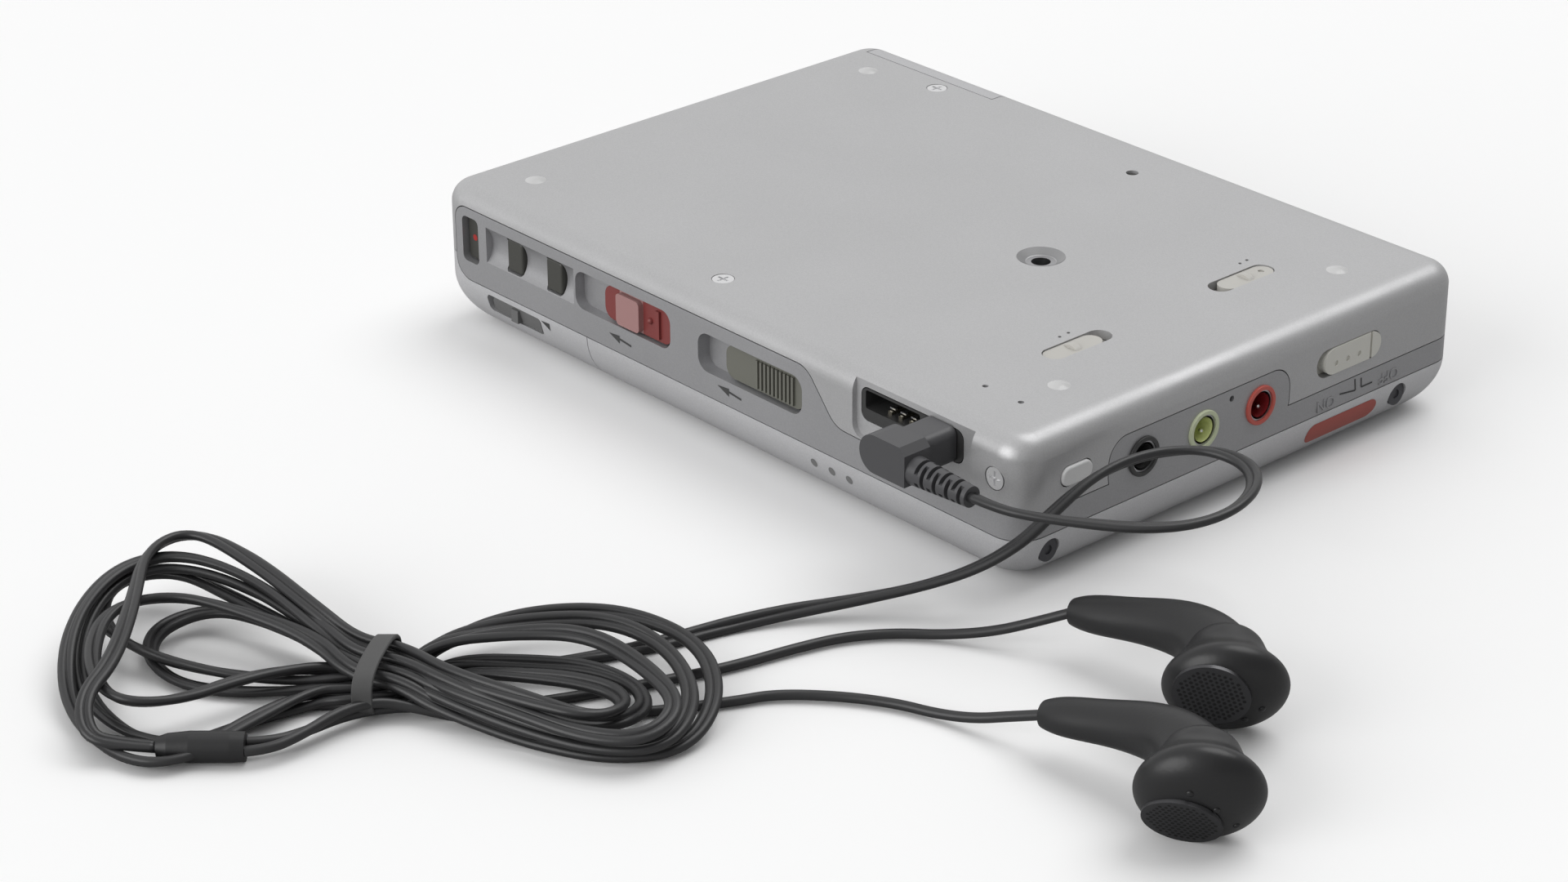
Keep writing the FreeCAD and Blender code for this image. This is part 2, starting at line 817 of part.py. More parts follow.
damper_low = "chassis_low + chassis_sheet"
damper_top = "chassis_low + chassis_sheet + 2"
damper_posts = [
    rod(f"damper_post_{name}", "Z", (x, y, damper_top), f"{roof_low} + 0.3 - ({damper_top})", "1.5")
    for name, x, y in DAMPERS
]
control_screw_x = from_right("4.25")
control_screw_z = "14.6"
side_screw_radius = "1.5"
cover_tools = [
    panel_zone_grown, jack_zone_grown, door_zone_grown,
    base_plate(
        "avls_slot", slot_x, avls_y, "base_slot_width", "base_slot_length", "base_slot_width / 2 - round_spare",
        f"{roof_low} - 1", over,
    ),
    base_plate(
        "mic_sens_slot", slot_x, mic_sens_y, "base_slot_width", "base_slot_length", "base_slot_width / 2 - round_spare",
        f"{roof_low} - 1", over,
    ),
    taper(
        "insert_dish", "Z", (insert_x, insert_y, "case_height - dish_depth"), "dish_depth + 0.1",
        "insert_outer", "dish_radius + 0.1",
    ),
    rod("insert_seat", "Z", (insert_x, insert_y, "10"), "20", "insert_outer"),
    rod("clock_opening", "Z", (clock_x, clock_y, f"{roof_low} - 1"), "5", "clock_hole"),
    rod("pinhole_left", "Z", (from_right("14.55"), from_front("8.6"), f"{roof_low} - 1"), "5", "0.38"),
    rod("pinhole_right", "Z", (from_right("8.65"), from_front("8.6"), f"{roof_low} - 1"), "5", "0.38"),
    front_plate(
        "socket_recess", from_right("18.15"), "(11.5 + 25) / 2", "20.2", "13.5", "1.8", "-1",
        "socket_face",
    ),
    front_plate(
        "socket_hole", socket_mid_x, socket_mid_z, "socket_width + 2 * slide_gap",
        "socket_height + 2 * slide_gap", "1.2", "-1", "4",
    ),
    rod("control_screw_seat", "Y", (control_screw_x, from_front("-1"), control_screw_z), "1.55", "screw_head + 0.1"),
    rod("control_screw_bore", "Y", (control_screw_x, from_front("-1"), control_screw_z), "6", "screw_shank"),
    side_plate(
        "bass_hole", bass_y, "bass_height", "bass_length + 2 * slide_gap",
        "bass_width + 2 * slide_gap", "bass_width / 2", "-1", "wall + 1",
    ),
    side_plate(
        "synchro_hole", synchro_y, "synchro_height", "synchro_slot", "synchro_width",
        "synchro_width / 2 - round_spare", "-1", "wall + 1",
    ),
]
for name, x, y in BASE_SCREWS:
    cover_tools.append(rod(f"{name}_screw_seat", "Z", (x, y, "case_height - 0.5"), "2", "screw_head + 0.08"))
    cover_tools.append(rod(f"{name}_screw_bore", "Z", (x, y, "10"), "15", "screw_shank"))
for index, (x, y) in enumerate(FEET, start=1):
    cover_tools.append(rod(f"foot_seat_{index}", "Z", (x, y, "case_height - 0.25"), "2", "foot_radius"))
cover_solid = join("cover_solid", cover_wall, cover_backing, insert_boss, *screw_bosses, *damper_posts)
node("base_cover", cut("base_cover_cut", cover_solid, *cover_tools))

# Rubber feet: low domes in round seats
foot_ball = "(foot_radius * foot_radius + foot_height * foot_height) / (2 * foot_height)"
feet = []
for index, (x, y) in enumerate(FEET, start=1):
    dome = shared(
        f"foot_dome_{index}",
        ball(f"foot_ball_{index}", (x, y, f"case_height + foot_height - {foot_ball}"), foot_ball),
        rod(f"foot_column_{index}", "Z", (x, y, "case_height - 0.05"), "2", "foot_radius"),
    )
    disc = rod(f"foot_disc_{index}", "Z", (x, y, "case_height - 0.25"), "0.25", "foot_radius")
    feet.append(join(f"foot_{index}", dome, disc))
node("feet", group("feet_group", *feet))

# Fixed end of the top case, over the battery: display window, hold switch and hinge seats
case_end_right = f"{split} - seam_gap / 2"
door_pin_y = from_rear("door_hinge_from_rear")
end_low = shared("case_end_low", lower_shell, block(
    "case_end_zone", (LEFT_END, case_end_right), (FRONT_END, REAR_END), ("-1", "lid_seam + 0.01"),
))
end_rise = shared("case_end_rise", upper_shell, block(
    "case_end_rise_zone", (LEFT_END, from_left("door_right")), (FRONT_END, REAR_END), ("lid_seam - 0.01", trim_top),
))
end_wall = shared("case_end_wall", lower_outer, block(
    "case_end_wall_zone", (f"{case_end_right} - split_wall", case_end_right), (FRONT_END, REAR_END),
    ("0", "lid_seam"),
))
door_ear = shared("door_ear", upper_outer, block(
    "door_ear_zone", (from_left("0.5"), from_left("door_left - 0.15")), (from_rear("3.2"), from_rear("0.2")),
    ("lid_seam - 0.01", "9.5"),
))
door_ear_low = shared("door_ear_low", lower_outer, block(
    "door_ear_low_zone", (from_left("0.5"), from_left("door_left - 0.15")), (from_rear("3.2"), from_rear("0")),
    ("2.4", "lid_seam"),
))
stud = rod("strap_stud", "X", (from_left("-0.9"), from_front("8.6"), "9.2"), "2", "0.9")
display_mid_x = from_left("15.6")
display_mid_y = from_front("48")
PLAY_KEYS = (
    ("play_key", from_left("15.6"), from_front("20.5"), "play_key_length", "play_key_width"),
    ("back_key", from_left("9.0"), from_front("20.5"), "3.6", "play_key_width"),
    ("forward_key", from_left("22.2"), from_front("20.5"), "3.6", "play_key_width"),
)
hold_mid_x = from_left("(hold_slot_left + hold_slot_length / 2)")
end_tools = [
    panel_zone_grown, door_zone_grown,
    front_plate(
        "hold_slot", hold_mid_x, "hold_slot_centre", "hold_slot_length", "hold_slot_height", "0.7", "-1", "3",
    ),
    base_plate(
        "display_opening", display_mid_x, display_mid_y, "display_width", "display_length", "1.5", "-1",
        "lid_floor + 1",
    ),
    rod(
        "left_pin_seat", "X", (f"{case_end_right} - split_wall - 1", hinge_y, "hinge_height"), "3", "hinge_pin",
    ),
    rod("door_pin_seat", "X", (from_left("1"), door_pin_y, "door_hinge_height"), "30", "door_pin"),
]
for name, x, y, width, depth in PLAY_KEYS:
    end_tools.append(base_plate(
        f"{name}_hole", x, y, f"{width} + 2 * slide_gap", f"{depth} + 2 * slide_gap", "0.8", "-1", "lid_floor + 1",
    ))
end_solid = join("case_end_solid", end_low, end_rise, end_wall, door_ear, door_ear_low, stud)
node("top_case_end", cut("top_case_end_cut", end_solid, *end_tools))

# Lid over the disc bay, hung on a barrel along the rear edge
lid_left = f"{split} + seam_gap / 2"
lid_skin = shared("lid_skin", lower_shell, block(
    "lid_zone", (lid_left, RIGHT_END), (FRONT_END, REAR_END), ("-1", lid_top),
))
lid_wall = shared("lid_left_wall", lower_outer, block(
    "lid_wall_zone", (lid_left, f"{lid_left} + split_wall"), (FRONT_END, REAR_END), ("0", lid_top),
))
barrel_solid = rod(
    "lid_barrel_round", "X", (lid_left, hinge_y, "hinge_height"), "case_width", "hinge_barrel",
)
lid_barrel = shared("lid_barrel", barrel_solid, join("case_form", lower_outer, upper_outer))
above_axis = cut(
    "above_axis",
    block("above_axis_block", (LEFT_END, RIGHT_END), (hinge_y, REAR_END), ("hinge_height", "12")),
    rod("above_axis_round", "X", (LEFT_END, hinge_y, "hinge_height"), "case_width + 10", "hinge_barrel"),
)
ear_slot = join(
    "ear_slot",
    rod(
        "ear_slot_round", "X", (f"{ear_left} - seam_gap", hinge_y, "hinge_height"),
        "hinge_ear_width + 2 * seam_gap", "hinge_barrel + 0.1",
    ),
    block(
        "ear_slot_mouth", (f"{ear_left} - seam_gap", f"{ear_right} + seam_gap"),
        (from_rear("3.1"), REAR_END), ("hinge_height", "12"),
    ),
)
catch_left = from_left("65.2")
lid_catch = shared("lid_catch", lower_outer, block(
    "lid_catch_block", (catch_left, f"{catch_left} + catch_width"), (FRONT_END, from_front("3.7")),
    ("6.5", "lid_seam - 0.1"),
))
SIDE_SCREWS = (("front", from_front("5.4")), ("rear", from_rear("11.0")))
lid_tools = [above_axis, ear_slot]
lid_tools.append(rod(
    "lid_pin_bore", "X", (f"{lid_left} - 1", hinge_y, "hinge_height"), "case_width",
    "hinge_pin + pin_clearance",
))
for name, y in SIDE_SCREWS:
    lid_tools.append(rod(
        f"lid_screw_seat_{name}", "X", (from_right("0.95"), y, "4.9"), "3", f"{side_screw_radius} + 0.1",
    ))
lid_solid = join("lid_solid", lid_skin, lid_wall, lid_barrel, lid_catch)
node("lid", cut("lid_cut", lid_solid, *lid_tools))
node("hinge_pins", group(
    "hinge_pin_group",
    rod(
        "hinge_pin_left", "X", (f"{case_end_right} - split_wall", hinge_y, "hinge_height"),
        "left_pin_length", "hinge_pin",
    ),
    rod("hinge_pin_right", "X", (f"{ear_left} - 3", hinge_y, "hinge_height"), "right_pin_length", "hinge_pin"),
    rod("battery_door_pin", "X", (from_left("2.6"), door_pin_y, "door_hinge_height"), "27.2", "door_pin"),
))
node("lid_side_screws", group("lid_side_screw_group", *[
    cut(
        f"lid_side_screw_{name}",
        rod(f"lid_side_screw_head_{name}", "X", (from_right("0.95"), y, "4.9"), "0.45", side_screw_radius),
        rod(f"lid_side_screw_dimple_{name}", "X", (from_right("0.7"), y, "4.9"), "0.5", "0.6"),
    )
    for name, y in SIDE_SCREWS
]))

# Battery door, hung on its own small barrel, with the battery behind it
door_barrel_rod = rod(
    "door_barrel_rod", "X", (door_x[0], door_pin_y, "door_hinge_height"),
    "door_right - door_left", "door_barrel",
)
case_form = doc.getObject("case_form")
door_skin = shared("door_skin", door_zone, join("case_shells", lower_shell, upper_shell))
door_hook = join(
    "door_hook",
    block(
        "door_hook_lip", (from_left("14"), from_left("18")),
        (from_rear("door_wrap + 1.2"), from_rear("door_wrap - 1")), (f"{roof_low} - 0.7", f"{roof_low} - 0.12"),
    ),
    block(
        "door_hook_root", (from_left("14"), from_left("18")),
        (from_rear("door_wrap - 0.3"), from_rear("door_wrap - 1")), (f"{roof_low} - 0.7", f"{roof_low} + 0.3"),
    ),
)
door_solid = join("door_solid", door_skin, shared("door_barrel_form", door_barrel_rod, case_form), door_hook)
door_solid.Refine = False
node("battery_door", cut(
    "battery_door_cut", door_solid,
    rod("door_pin_bore", "X", (LEFT_END, door_pin_y, "door_hinge_height"), "60", "door_pin + pin_clearance"),
    cut(
        "door_below",
        block("door_below_block", (LEFT_END, split), (from_rear("3"), REAR_END), ("0", "door_hinge_height")),
        rod("door_below_round", "X", (LEFT_END, door_pin_y, "door_hinge_height"), "60", "door_barrel"),
    ),
))
battery_left = from_left("3.6")
battery_back = from_rear("9.3")
battery_top = "battery_floor + battery_thickness"
cell = base_plate(
    "cell_block", f"{battery_left} + battery_width / 2", f"{battery_back} - battery_length / 2",
    "battery_width", "battery_length", "2", "battery_floor", battery_top,
)
dress(cell, "cell_edges", "1.5", lambda edge: level(edge, number(battery_top)) or level(edge, number("battery_floor")))
node("battery", cell)
tray_outer = block(
    "tray_outer", (f"{battery_left} - 0.6", f"{battery_left} + battery_width + 0.7"),
    (f"{battery_back} - battery_length - 1", f"{battery_back} + 4.2"), ("battery_floor - 0.5", f"{battery_top} + 0.7"),
)
tray_inner = block(
    "tray_inner", (f"{battery_left} - 0.15", f"{battery_left} + battery_width + 0.2"),
    (f"{battery_back} - battery_length - 0.6", REAR_END), ("battery_floor - 0.1", f"{battery_top} + 0.2"),
)
tray_post = rod(
    "tray_post", "Z", (BASE_SCREWS[0][1], BASE_SCREWS[0][2], f"{battery_top} + 0.3"),
    f"{roof_low} - ({battery_top}) - 2", "1.4",
)
tray_tabs = [
    block(
        f"tray_tab_{name}", (f"{battery_left} + battery_width + 0.3", from_left("29.7")),
        (low, high), ("lid_seam", "lid_seam + 0.6"),
    )
    for name, low, high in (
        ("front", from_front("9.3"), from_front("16.3")), ("rear", from_rear("22.3"), from_rear("12.3")),
    )
]
node("battery_tray", cut(
    "battery_tray_cut", join("tray_solid", tray_outer, tray_post, *tray_tabs), tray_inner,
    rod("tray_post_bore", "Z", (BASE_SCREWS[0][1], BASE_SCREWS[0][2], f"{battery_top} - 1"), "6", "screw_shank"),
))
CONTACTS = ("-5.5", "5.5")
contact_strips = [
    block(
        f"battery_contact_{index}",
        (f"{battery_left} + battery_width / 2 + {offset} - 1.5", f"{battery_left} + battery_width / 2 + {offset} + 1.5"),
        (f"{battery_back} - battery_length - 0.6", f"{battery_back} - battery_length - 0.02"),
        ("battery_floor + 3", "battery_floor + 7"),
    )
    for index, offset in enumerate(CONTACTS)
]

# Display window and playback keys on the face the recorder lies on
window_body = base_plate(
    "window_plate", display_mid_x, display_mid_y, "display_width - 0.2", "display_length - 0.2", "1.4",
    "0.2", "lid_floor + 0.2",
)
window_flange = base_plate(
    "window_flange", display_mid_x, display_mid_y, "display_width + 1.4", "display_length + 1.4", "1.4",
    "lid_floor + 0.02", "lid_floor + 0.5",
)
node("display_window", join("display_window_solid", window_body, window_flange))
node("display_panel", block(
    "display_glass", (f"{display_mid_x} - display_width / 2", f"{display_mid_x} + display_width / 2"),
    (f"{display_mid_y} - display_length / 2", f"{display_mid_y} + display_length / 2"),
    ("lid_floor + 0.6", "battery_floor - 0.7"),
))
for name, x, y, width, depth in PLAY_KEYS:
    cap = base_plate(f"{name}_cap", x, y, width, depth, "0.7", "0.35", "lid_floor + 0.3")
    flange = base_plate(
        f"{name}_flange", x, y, f"{width} + 0.8", f"{depth} + 0.8", "0.9", "lid_floor + 0.12", "lid_floor + 0.5",
    )
    node(name, join(f"{name}_solid", cap, flange))
playback_board = block(
    "playback_board_plate", (from_left("6.5"), from_left("26.5")), (from_front("10.5"), from_front("24")),
    ("lid_floor + 0.85", "lid_floor + 1.4"),
)

# Buttons and slides on the control side. Each has a flange or plate behind the panel.
key_back = ("panel_thickness + 0.15", "panel_thickness + 0.15 + 0.3")


def panel_button(label, middle_x, middle_z, width, height, corner, front_depth, dome):
    """Push button that fills its hole, with a flange behind the panel."""
    front = front_plate(
        label + "_cap", middle_x, middle_z, f"{width} - 2 * slide_gap", f"{height} - 2 * slide_gap",
        corner, front_depth, key_back[1],
    )
    face_y = number(from_front(front_depth))
    dress(front, label + "_dome", dome, lambda edge: abs(edge.BoundBox.YMax - face_y) < 1e-4)
    flange = front_plate(
        label + "_flange", middle_x, middle_z, f"{width} + 2 * key_flange", f"{height} + 2 * key_flange",
        corner, *key_back,
    )
    return node(label, join(label + "_solid", front, flange))


panel_button("erase_button", erase_middle, erase_mid_z, "erase_width", "erase_height", "0.7", "erase_depth", "0.3")
panel_button("t_mark_button", t_mark_middle, key_mid_z, "key_width", "key_height", "0.45", "0.35", "0.3")
panel_button(
    "end_search_button", end_search_middle, key_mid_z, "key_width", "key_height", "0.45", "0.25", "0.3",
)
node("key_boards", group("key_board_group", playback_board, block(
    "key_board_plate", (from_left("4"), from_left("55.5")),
    (from_front("panel_thickness + 0.8"), from_front("panel_thickness + 0.8 + board_thickness")), ("9.2", "15.4"),
)))


def panel_slide(name, middle_x, middle_z, length, height, recess_depth, thickness):
    """Slide plate in its recess, with a stem through the panel and a plate behind it."""
    plate = front_plate(
        name + "_plate", middle_x, middle_z, length, height, "1.5",
        f"{recess_depth} - 0.1 - {thickness}", f"{recess_depth} - 0.1",
    )
    stem = block(
        name + "_stem", (f"{middle_x} - 1.5", f"{middle_x} + 1.5"),
        (from_front(f"{recess_depth} - 0.5"), from_front("panel_thickness + 0.35")),
        (f"{middle_z} - {stem_height} / 2", f"{middle_z} + {stem_height} / 2"),
    )
    keeper = block(
        name + "_keeper", (f"{middle_x} - 3.5", f"{middle_x} + 3.5"),
        (from_front("panel_thickness + 0.15"), from_front("panel_thickness + 0.45")),
        (f"{middle_z} - 1.6", f"{middle_z} + 1.6"),
    )
    return [plate, stem, keeper]


rec_front = "rec_recess_depth - 0.1 - rec_slide_thickness"
rec_block = front_plate(
    "rec_block", from_left("(rec_slide_left + rec_block_left + rec_block_width / 2)"), groove_middle,
    "rec_block_width", "rec_slide_height - 0.3", "0.6", f"{rec_front} - rec_block_height", f"{rec_front} + 0.2",
)
rec_ridge = block(
    "rec_ridge", (from_left("44.2"), from_left("44.9")), (from_front(f"{rec_front} - 0.35"), from_front(f"{rec_front} + 0.1")),
    (f"{groove_middle} - 1.9", f"{groove_middle} + 1.9"),
)
rec_nub = ball("rec_nub", (from_left("42.9"), from_front(f"{rec_front}"), groove_middle), "0.45")
node("record_slide", join(
    "record_slide_solid",
    *panel_slide("record_slide", rec_slide_mid, groove_middle, "rec_slide_length", "rec_slide_height", "rec_recess_depth", "rec_slide_thickness"),
    rec_block, rec_ridge, rec_nub,
))

open_front = "open_recess_depth - 0.1 - open_slide_thickness"
open_ribs = [
    block(
        f"open_rib_{index}",
        (from_left(f"open_slide_left + rib_first + {index} * rib_pitch"),
         from_left(f"open_slide_left + rib_first + {index} * rib_pitch + rib_width")),
        (from_front(f"{open_front} - rib_height"), from_front(f"{open_front} + 0.1")),
        (f"{open_middle} - 1.9", f"{open_middle} + 1.9"),
    )
    for index in range(int(number("rib_count")))
]
hook_x = f"{open_slide_mid} - 1.5"
hook_arm = block(
    "latch_arm", (hook_x, f"{hook_x} + hook_width"),
    (from_front("panel_thickness + 0.15"), from_front("panel_thickness + 0.15 + hook_thickness")),
    ("hook_tip", f"{open_middle}"),
)
hook_toe = block(
    "latch_toe", (hook_x, f"{catch_left} - 0.3"),
    (from_front("panel_thickness - 0.4"), from_front("panel_thickness + 0.15 + hook_thickness")),
    ("hook_tip", "hook_tip + 0.7"),
)
node("open_slide", join(
    "open_slide_solid",
    *panel_slide("open_slide", open_slide_mid, open_middle, "open_slide_length", "open_slide_height", "open_recess_depth", "open_slide_thickness"),
    hook_arm, hook_toe, *open_ribs,
))

# Hold switch in the sloping front of the fixed end
hold_knob_mid = from_left("(hold_slot_left + 1.1 + 9.9 / 2)")
hold_knob = shared(
    "hold_knob",
    front_plate("hold_knob_block", hold_knob_mid, "hold_slot_centre", "9.9", "hold_slot_height - 2 * slide_gap", "0.6", "-1", "2.0"),
    lower_form("hold_form", "0.15", "0", "lid_round"),
)
hold_keeper = block(
    "hold_keeper", (f"{hold_knob_mid} - 6.2", f"{hold_knob_mid} + 6.2"), (from_front("1.85"), from_front("2.3")),
    ("hold_slot_centre - 1.0", "hold_slot_centre + 1.8"),
)
hold_ridge = block(
    "hold_ridge", (f"{hold_knob_mid} - 0.7", f"{hold_knob_mid} + 0.7"), (from_front("-0.1"), from_front("0.8")),
    ("hold_slot_centre - 0.9", "hold_slot_centre + 0.9"),
)
node("hold_slide", join("hold_slide_solid", hold_knob, hold_keeper, hold_ridge))

# Switches in the base cover
RIDGE_EDGES = [((-1.15, 0), (1.15, 0)), ((1.15, 0), (0, 0.48), (-1.15, 0))]


def base_slide(label, middle_y, toward_rear, dimple):
    """Base switch at one end of its slot: a flat round-ended knob with an arched ridge across its middle."""
    shift = f"{toward_rear} * (base_slot_length - base_knob_length - 2 * slide_gap) / 2"
    knob_y = f"{middle_y} + ({shift})"
    knob_top = "case_height - 0.15"
    knob = base_plate(
        label + "_knob", slot_x, knob_y, "base_slot_width - 2 * slide_gap", "base_knob_length",
        "base_slot_width / 2 - slide_gap - round_spare", f"{roof_low} - 0.15", knob_top,
    )
    if dimple:
        knob = cut(
            label + "_dimpled", knob,
            rod(label + "_dimple", "Z", (slot_x, f"{knob_y} + 2.9", f"{knob_top} - 0.2"), "1", "0.4"),
        )
    ridge = padded_outline(label + "_ridge", "XZ_Plane", "0", RIDGE_EDGES, "2 * ridge_half")
    bind(ridge, "Placement.Base.x", slot_x)
    bind(ridge, "Placement.Base.y", f"{knob_y} + ridge_half")
    bind(ridge, "Placement.Base.z", f"{knob_top} - 0.03")
    keeper = base_plate(
        label + "_keeper", slot_x, knob_y, "base_slot_width + 1.6", "base_knob_length + 3.4", "1",
        f"{roof_low} - 0.45", f"{roof_low} - 0.12",
    )
    return node(label, join(label + "_solid", knob, ridge, keeper))


base_slide("avls_slide", avls_y, "-1", False)
base_slide("mic_sens_slide", mic_sens_y, "1", True)
clock_stem = rod("clock_stem", "Z", (clock_x, clock_y, "main_board_low + main_board_thickness + 0.5"), "3.6", "clock_hole - 0.12")
clock_collar = rod("clock_collar", "Z", (clock_x, clock_y, f"{roof_low} - 0.8"), "0.6", "1.8")
node("clock_button", join("clock_button_solid", clock_stem, clock_collar))
insert_shell = cut(
    "insert_shell",
    rod("insert_body", "Z", (insert_x, insert_y, "case_height - dish_depth - insert_length"), "insert_length", "insert_outer"),
    rod("insert_thread", "Z", (insert_x, insert_y, "case_height - dish_depth - insert_length - 1"), "insert_length + 2", "insert_bore"),
)
node("threaded_insert", insert_shell)


def pan_screw(name, axis_start, axis, shank):
    """Screw with a thin head and a cross recess; it points into the case."""
    head_start, shank_start = axis_start
    head = rod(name + "_head", axis, head_start, "0.45", "screw_head")
    body = rod(name + "_shank", axis, shank_start, shank, "screw_shank - 0.05")
    arms = []
    for index, (wide, tall) in enumerate((("0.9", "0.16"), ("0.16", "0.9"))):
        centre = head_start
        if axis == "Z":
            arms.append(block(
                f"{name}_cross_{index}", (f"{centre[0]} - {wide}", f"{centre[0]} + {wide}"),
                (f"{centre[1]} - {tall}", f"{centre[1]} + {tall}"), (f"{centre[2]} + 0.2", f"{centre[2]} + 1"),
            ))
        else:
            arms.append(block(
                f"{name}_cross_{index}", (f"{centre[0]} - {wide}", f"{centre[0]} + {wide}"),
                (f"{centre[1]} - 0.5", f"{centre[1]} + 0.25"),
                (f"{centre[2]} - {tall}", f"{centre[2]} + {tall}"),
            ))
    return cut(name, join(name + "_solid", head, body), *arms)


case_screws = [
    pan_screw(f"base_screw_{name}", ((x, y, "case_height - 0.5"), (x, y, "case_height - 4.5")), "Z", "4.2")
    for name, x, y in BASE_SCREWS
]
case_screws.append(pan_screw(
    "control_screw",
    ((control_screw_x, from_front("0.1"), control_screw_z), (control_screw_x, from_front("0.4"), control_screw_z)),
    "Y", "4",
))
node("case_screws", group("case_screw_group", *case_screws))

# Buttons and switch on the jack side
bass_cap = side_plate("bass_cap", bass_y, "bass_height", "bass_length", "bass_width", "bass_width / 2 - 0.02", "-0.35", "1.7")
bass_face = number(from_right("-0.35"))
dress(bass_cap, "bass_dome", "0.3", lambda edge: abs(edge.BoundBox.XMin - bass_face) < 1e-4)
bass_flange = side_plate("bass_flange", bass_y, "bass_height", "bass_length + 1", "bass_width + 1", "1.2", "1.3", "1.7")
node("bass_button", join("bass_button_solid", bass_cap, bass_flange))
synchro_knob_y = f"{synchro_y} + (synchro_slot - synchro_knob) / 2 - slide_gap"
synchro_plate = side_plate(
    "synchro_plate", synchro_knob_y, "synchro_height", "synchro_knob", "synchro_width - 2 * slide_gap",
    "synchro_width / 2 - slide_gap - round_spare", "-0.15", "1.4",
)
synchro_keeper = side_plate(
    "synchro_keeper", synchro_knob_y, "synchro_height", "synchro_knob + 2.6", "synchro_width + 1", "1", "1.22", "1.6",
)
synchro_groove = block(
    "synchro_groove", (from_right("0.2"), RIGHT_END), (f"{synchro_knob_y} + 3.2", f"{synchro_knob_y} + 3.6"),
    ("synchro_height - 3", "synchro_height + 3"),
)
synchro_dimples = [
    rod(
        f"synchro_dimple_{index}", "X",
        (from_right("0.05"), f"{synchro_knob_y} + {-3.1 + 2.15 * index}", "synchro_height - 0.4"), "1", "0.36",
    )
    for index in range(3)
]
node("synchro_slide", cut(
    "synchro_cut", join("synchro_solid", synchro_plate, synchro_keeper), synchro_groove, *synchro_dimples,
))

# Jacks
side_jack_bodies = []


def side_jack(label, middle_y):
    """Jack body with its barrel, bored for the plug, behind a coloured ring."""
    low = "side_jack_height - 3"
    body = block(
        label + "_body", (from_right("jack_length"), from_right("jack_panel_thickness + 0.3")),
        (f"{middle_y} - 3.2", f"{middle_y} + 3.2"), (low, "side_jack_height + 3.3"),
    )
    barrel = rod(label + "_barrel", "X", (from_right("jack_length"), middle_y, "side_jack_height"), "jack_length + ring_proud - 0.25", "jack_barrel")
    bore = rod(label + "_bore", "X", (from_right("jack_length + 1"), middle_y, "side_jack_height"), "jack_length + 3", "jack_bore")
    side_jack_bodies.append(cut(label + "_jack", join(label + "_solid", body, barrel), bore))
    ring_body = rod(label + "_ring_body", "X", (from_right("0"), middle_y, "side_jack_height"), "ring_proud", "ring_radius")
    ring_bore = rod(label + "_ring_bore", "X", (from_right("1"), middle_y, "side_jack_height"), "3", "jack_barrel + 0.02")
    ring_cut = cut(label + "_ring_cut", ring_body, ring_bore)
    outer_x = number(from_right("-ring_proud"))
    return node(f"{label}_ring", rounded(
        label + "_ring_edge", ring_cut, "0.15",
        lambda edge: abs(edge.BoundBox.XMin - outer_x) < 1e-3 and edge.Length > 2 * math.pi * 2.3,
    ))


for jack, y in SIDE_JACKS:
    side_jack(jack, y)
node("side_jacks", group("side_jack_group", *side_jack_bodies))

# Remote socket, headphone jack and the parts of the plug
socket_front = "socket_face"
socket_slot_x = f"{socket_left} + 0.65 + socket_slot_width / 2"
socket_slot_z = "socket_low + 1.5 + socket_slot_height / 2"
frame_plate = front_plate(
    "socket_plate", socket_mid_x, socket_mid_z, "socket_width", "socket_height", "1.1", socket_front, "2.4",
)
frame_body = block(
    "socket_body", (f"{socket_left} + 0.3", f"{socket_left} + 11"), (from_front("2.3"), from_front("6.7")),
    ("socket_low + 0.25", "socket_low + socket_height + 0.15"),
)
node("remote_socket", cut(
    "remote_socket_cut", join("remote_socket_solid", frame_plate, frame_body),
    front_plate(
        "remote_slot", socket_slot_x, socket_slot_z, "socket_slot_width", "socket_slot_height", "0.3", "0", "6.0",
    ),
    rod("jack_mouth", "Y", (jack_x, from_front("0"), "jack_centre"), "5", "jack_barrel + 0.04"),
))
contact_strips += [
    block(
        f"remote_contact_{index}",
        (f"{socket_left} + 3.6 + {index} * 1.8", f"{socket_left} + 4.2 + {index} * 1.8"),
        (from_front("1.6"), from_front("6.0")), ("socket_low + 1.5", "socket_low + 1.9"),
    )
    for index in range(3)
]
node("contacts", group("contact_group", *contact_strips))
jack_body = block(
    "headphone_body", (f"{jack_x} - 2.6", f"{jack_x} + 2.6"), (from_front("2.5"), from_front("15.2")),
    ("jack_centre - 2.6", "jack_centre + 2.6"),
)
jack_tube = rod("headphone_barrel", "Y", (jack_x, from_front("socket_face + 0.1"), "jack_centre"), "14.5", "jack_barrel")
node("headphone_jack", cut(
    "headphone_jack_cut", join("headphone_jack_solid", jack_body, jack_tube),
    rod("headphone_bore", "Y", (jack_x, from_front("0"), "jack_centre"), "18", "jack_bore"),
))

plug_face = from_front("socket_face - 0.15")


def at_jack(shape_object):
    """Move a piece drawn round the jack's axis to its place in front of the socket."""
    bind(shape_object, "Placement.Base.x", jack_x)
    bind(shape_object, "Placement.Base.y", plug_face)
    bind(shape_object, "Placement.Base.z", "jack_centre")
    return shape_object


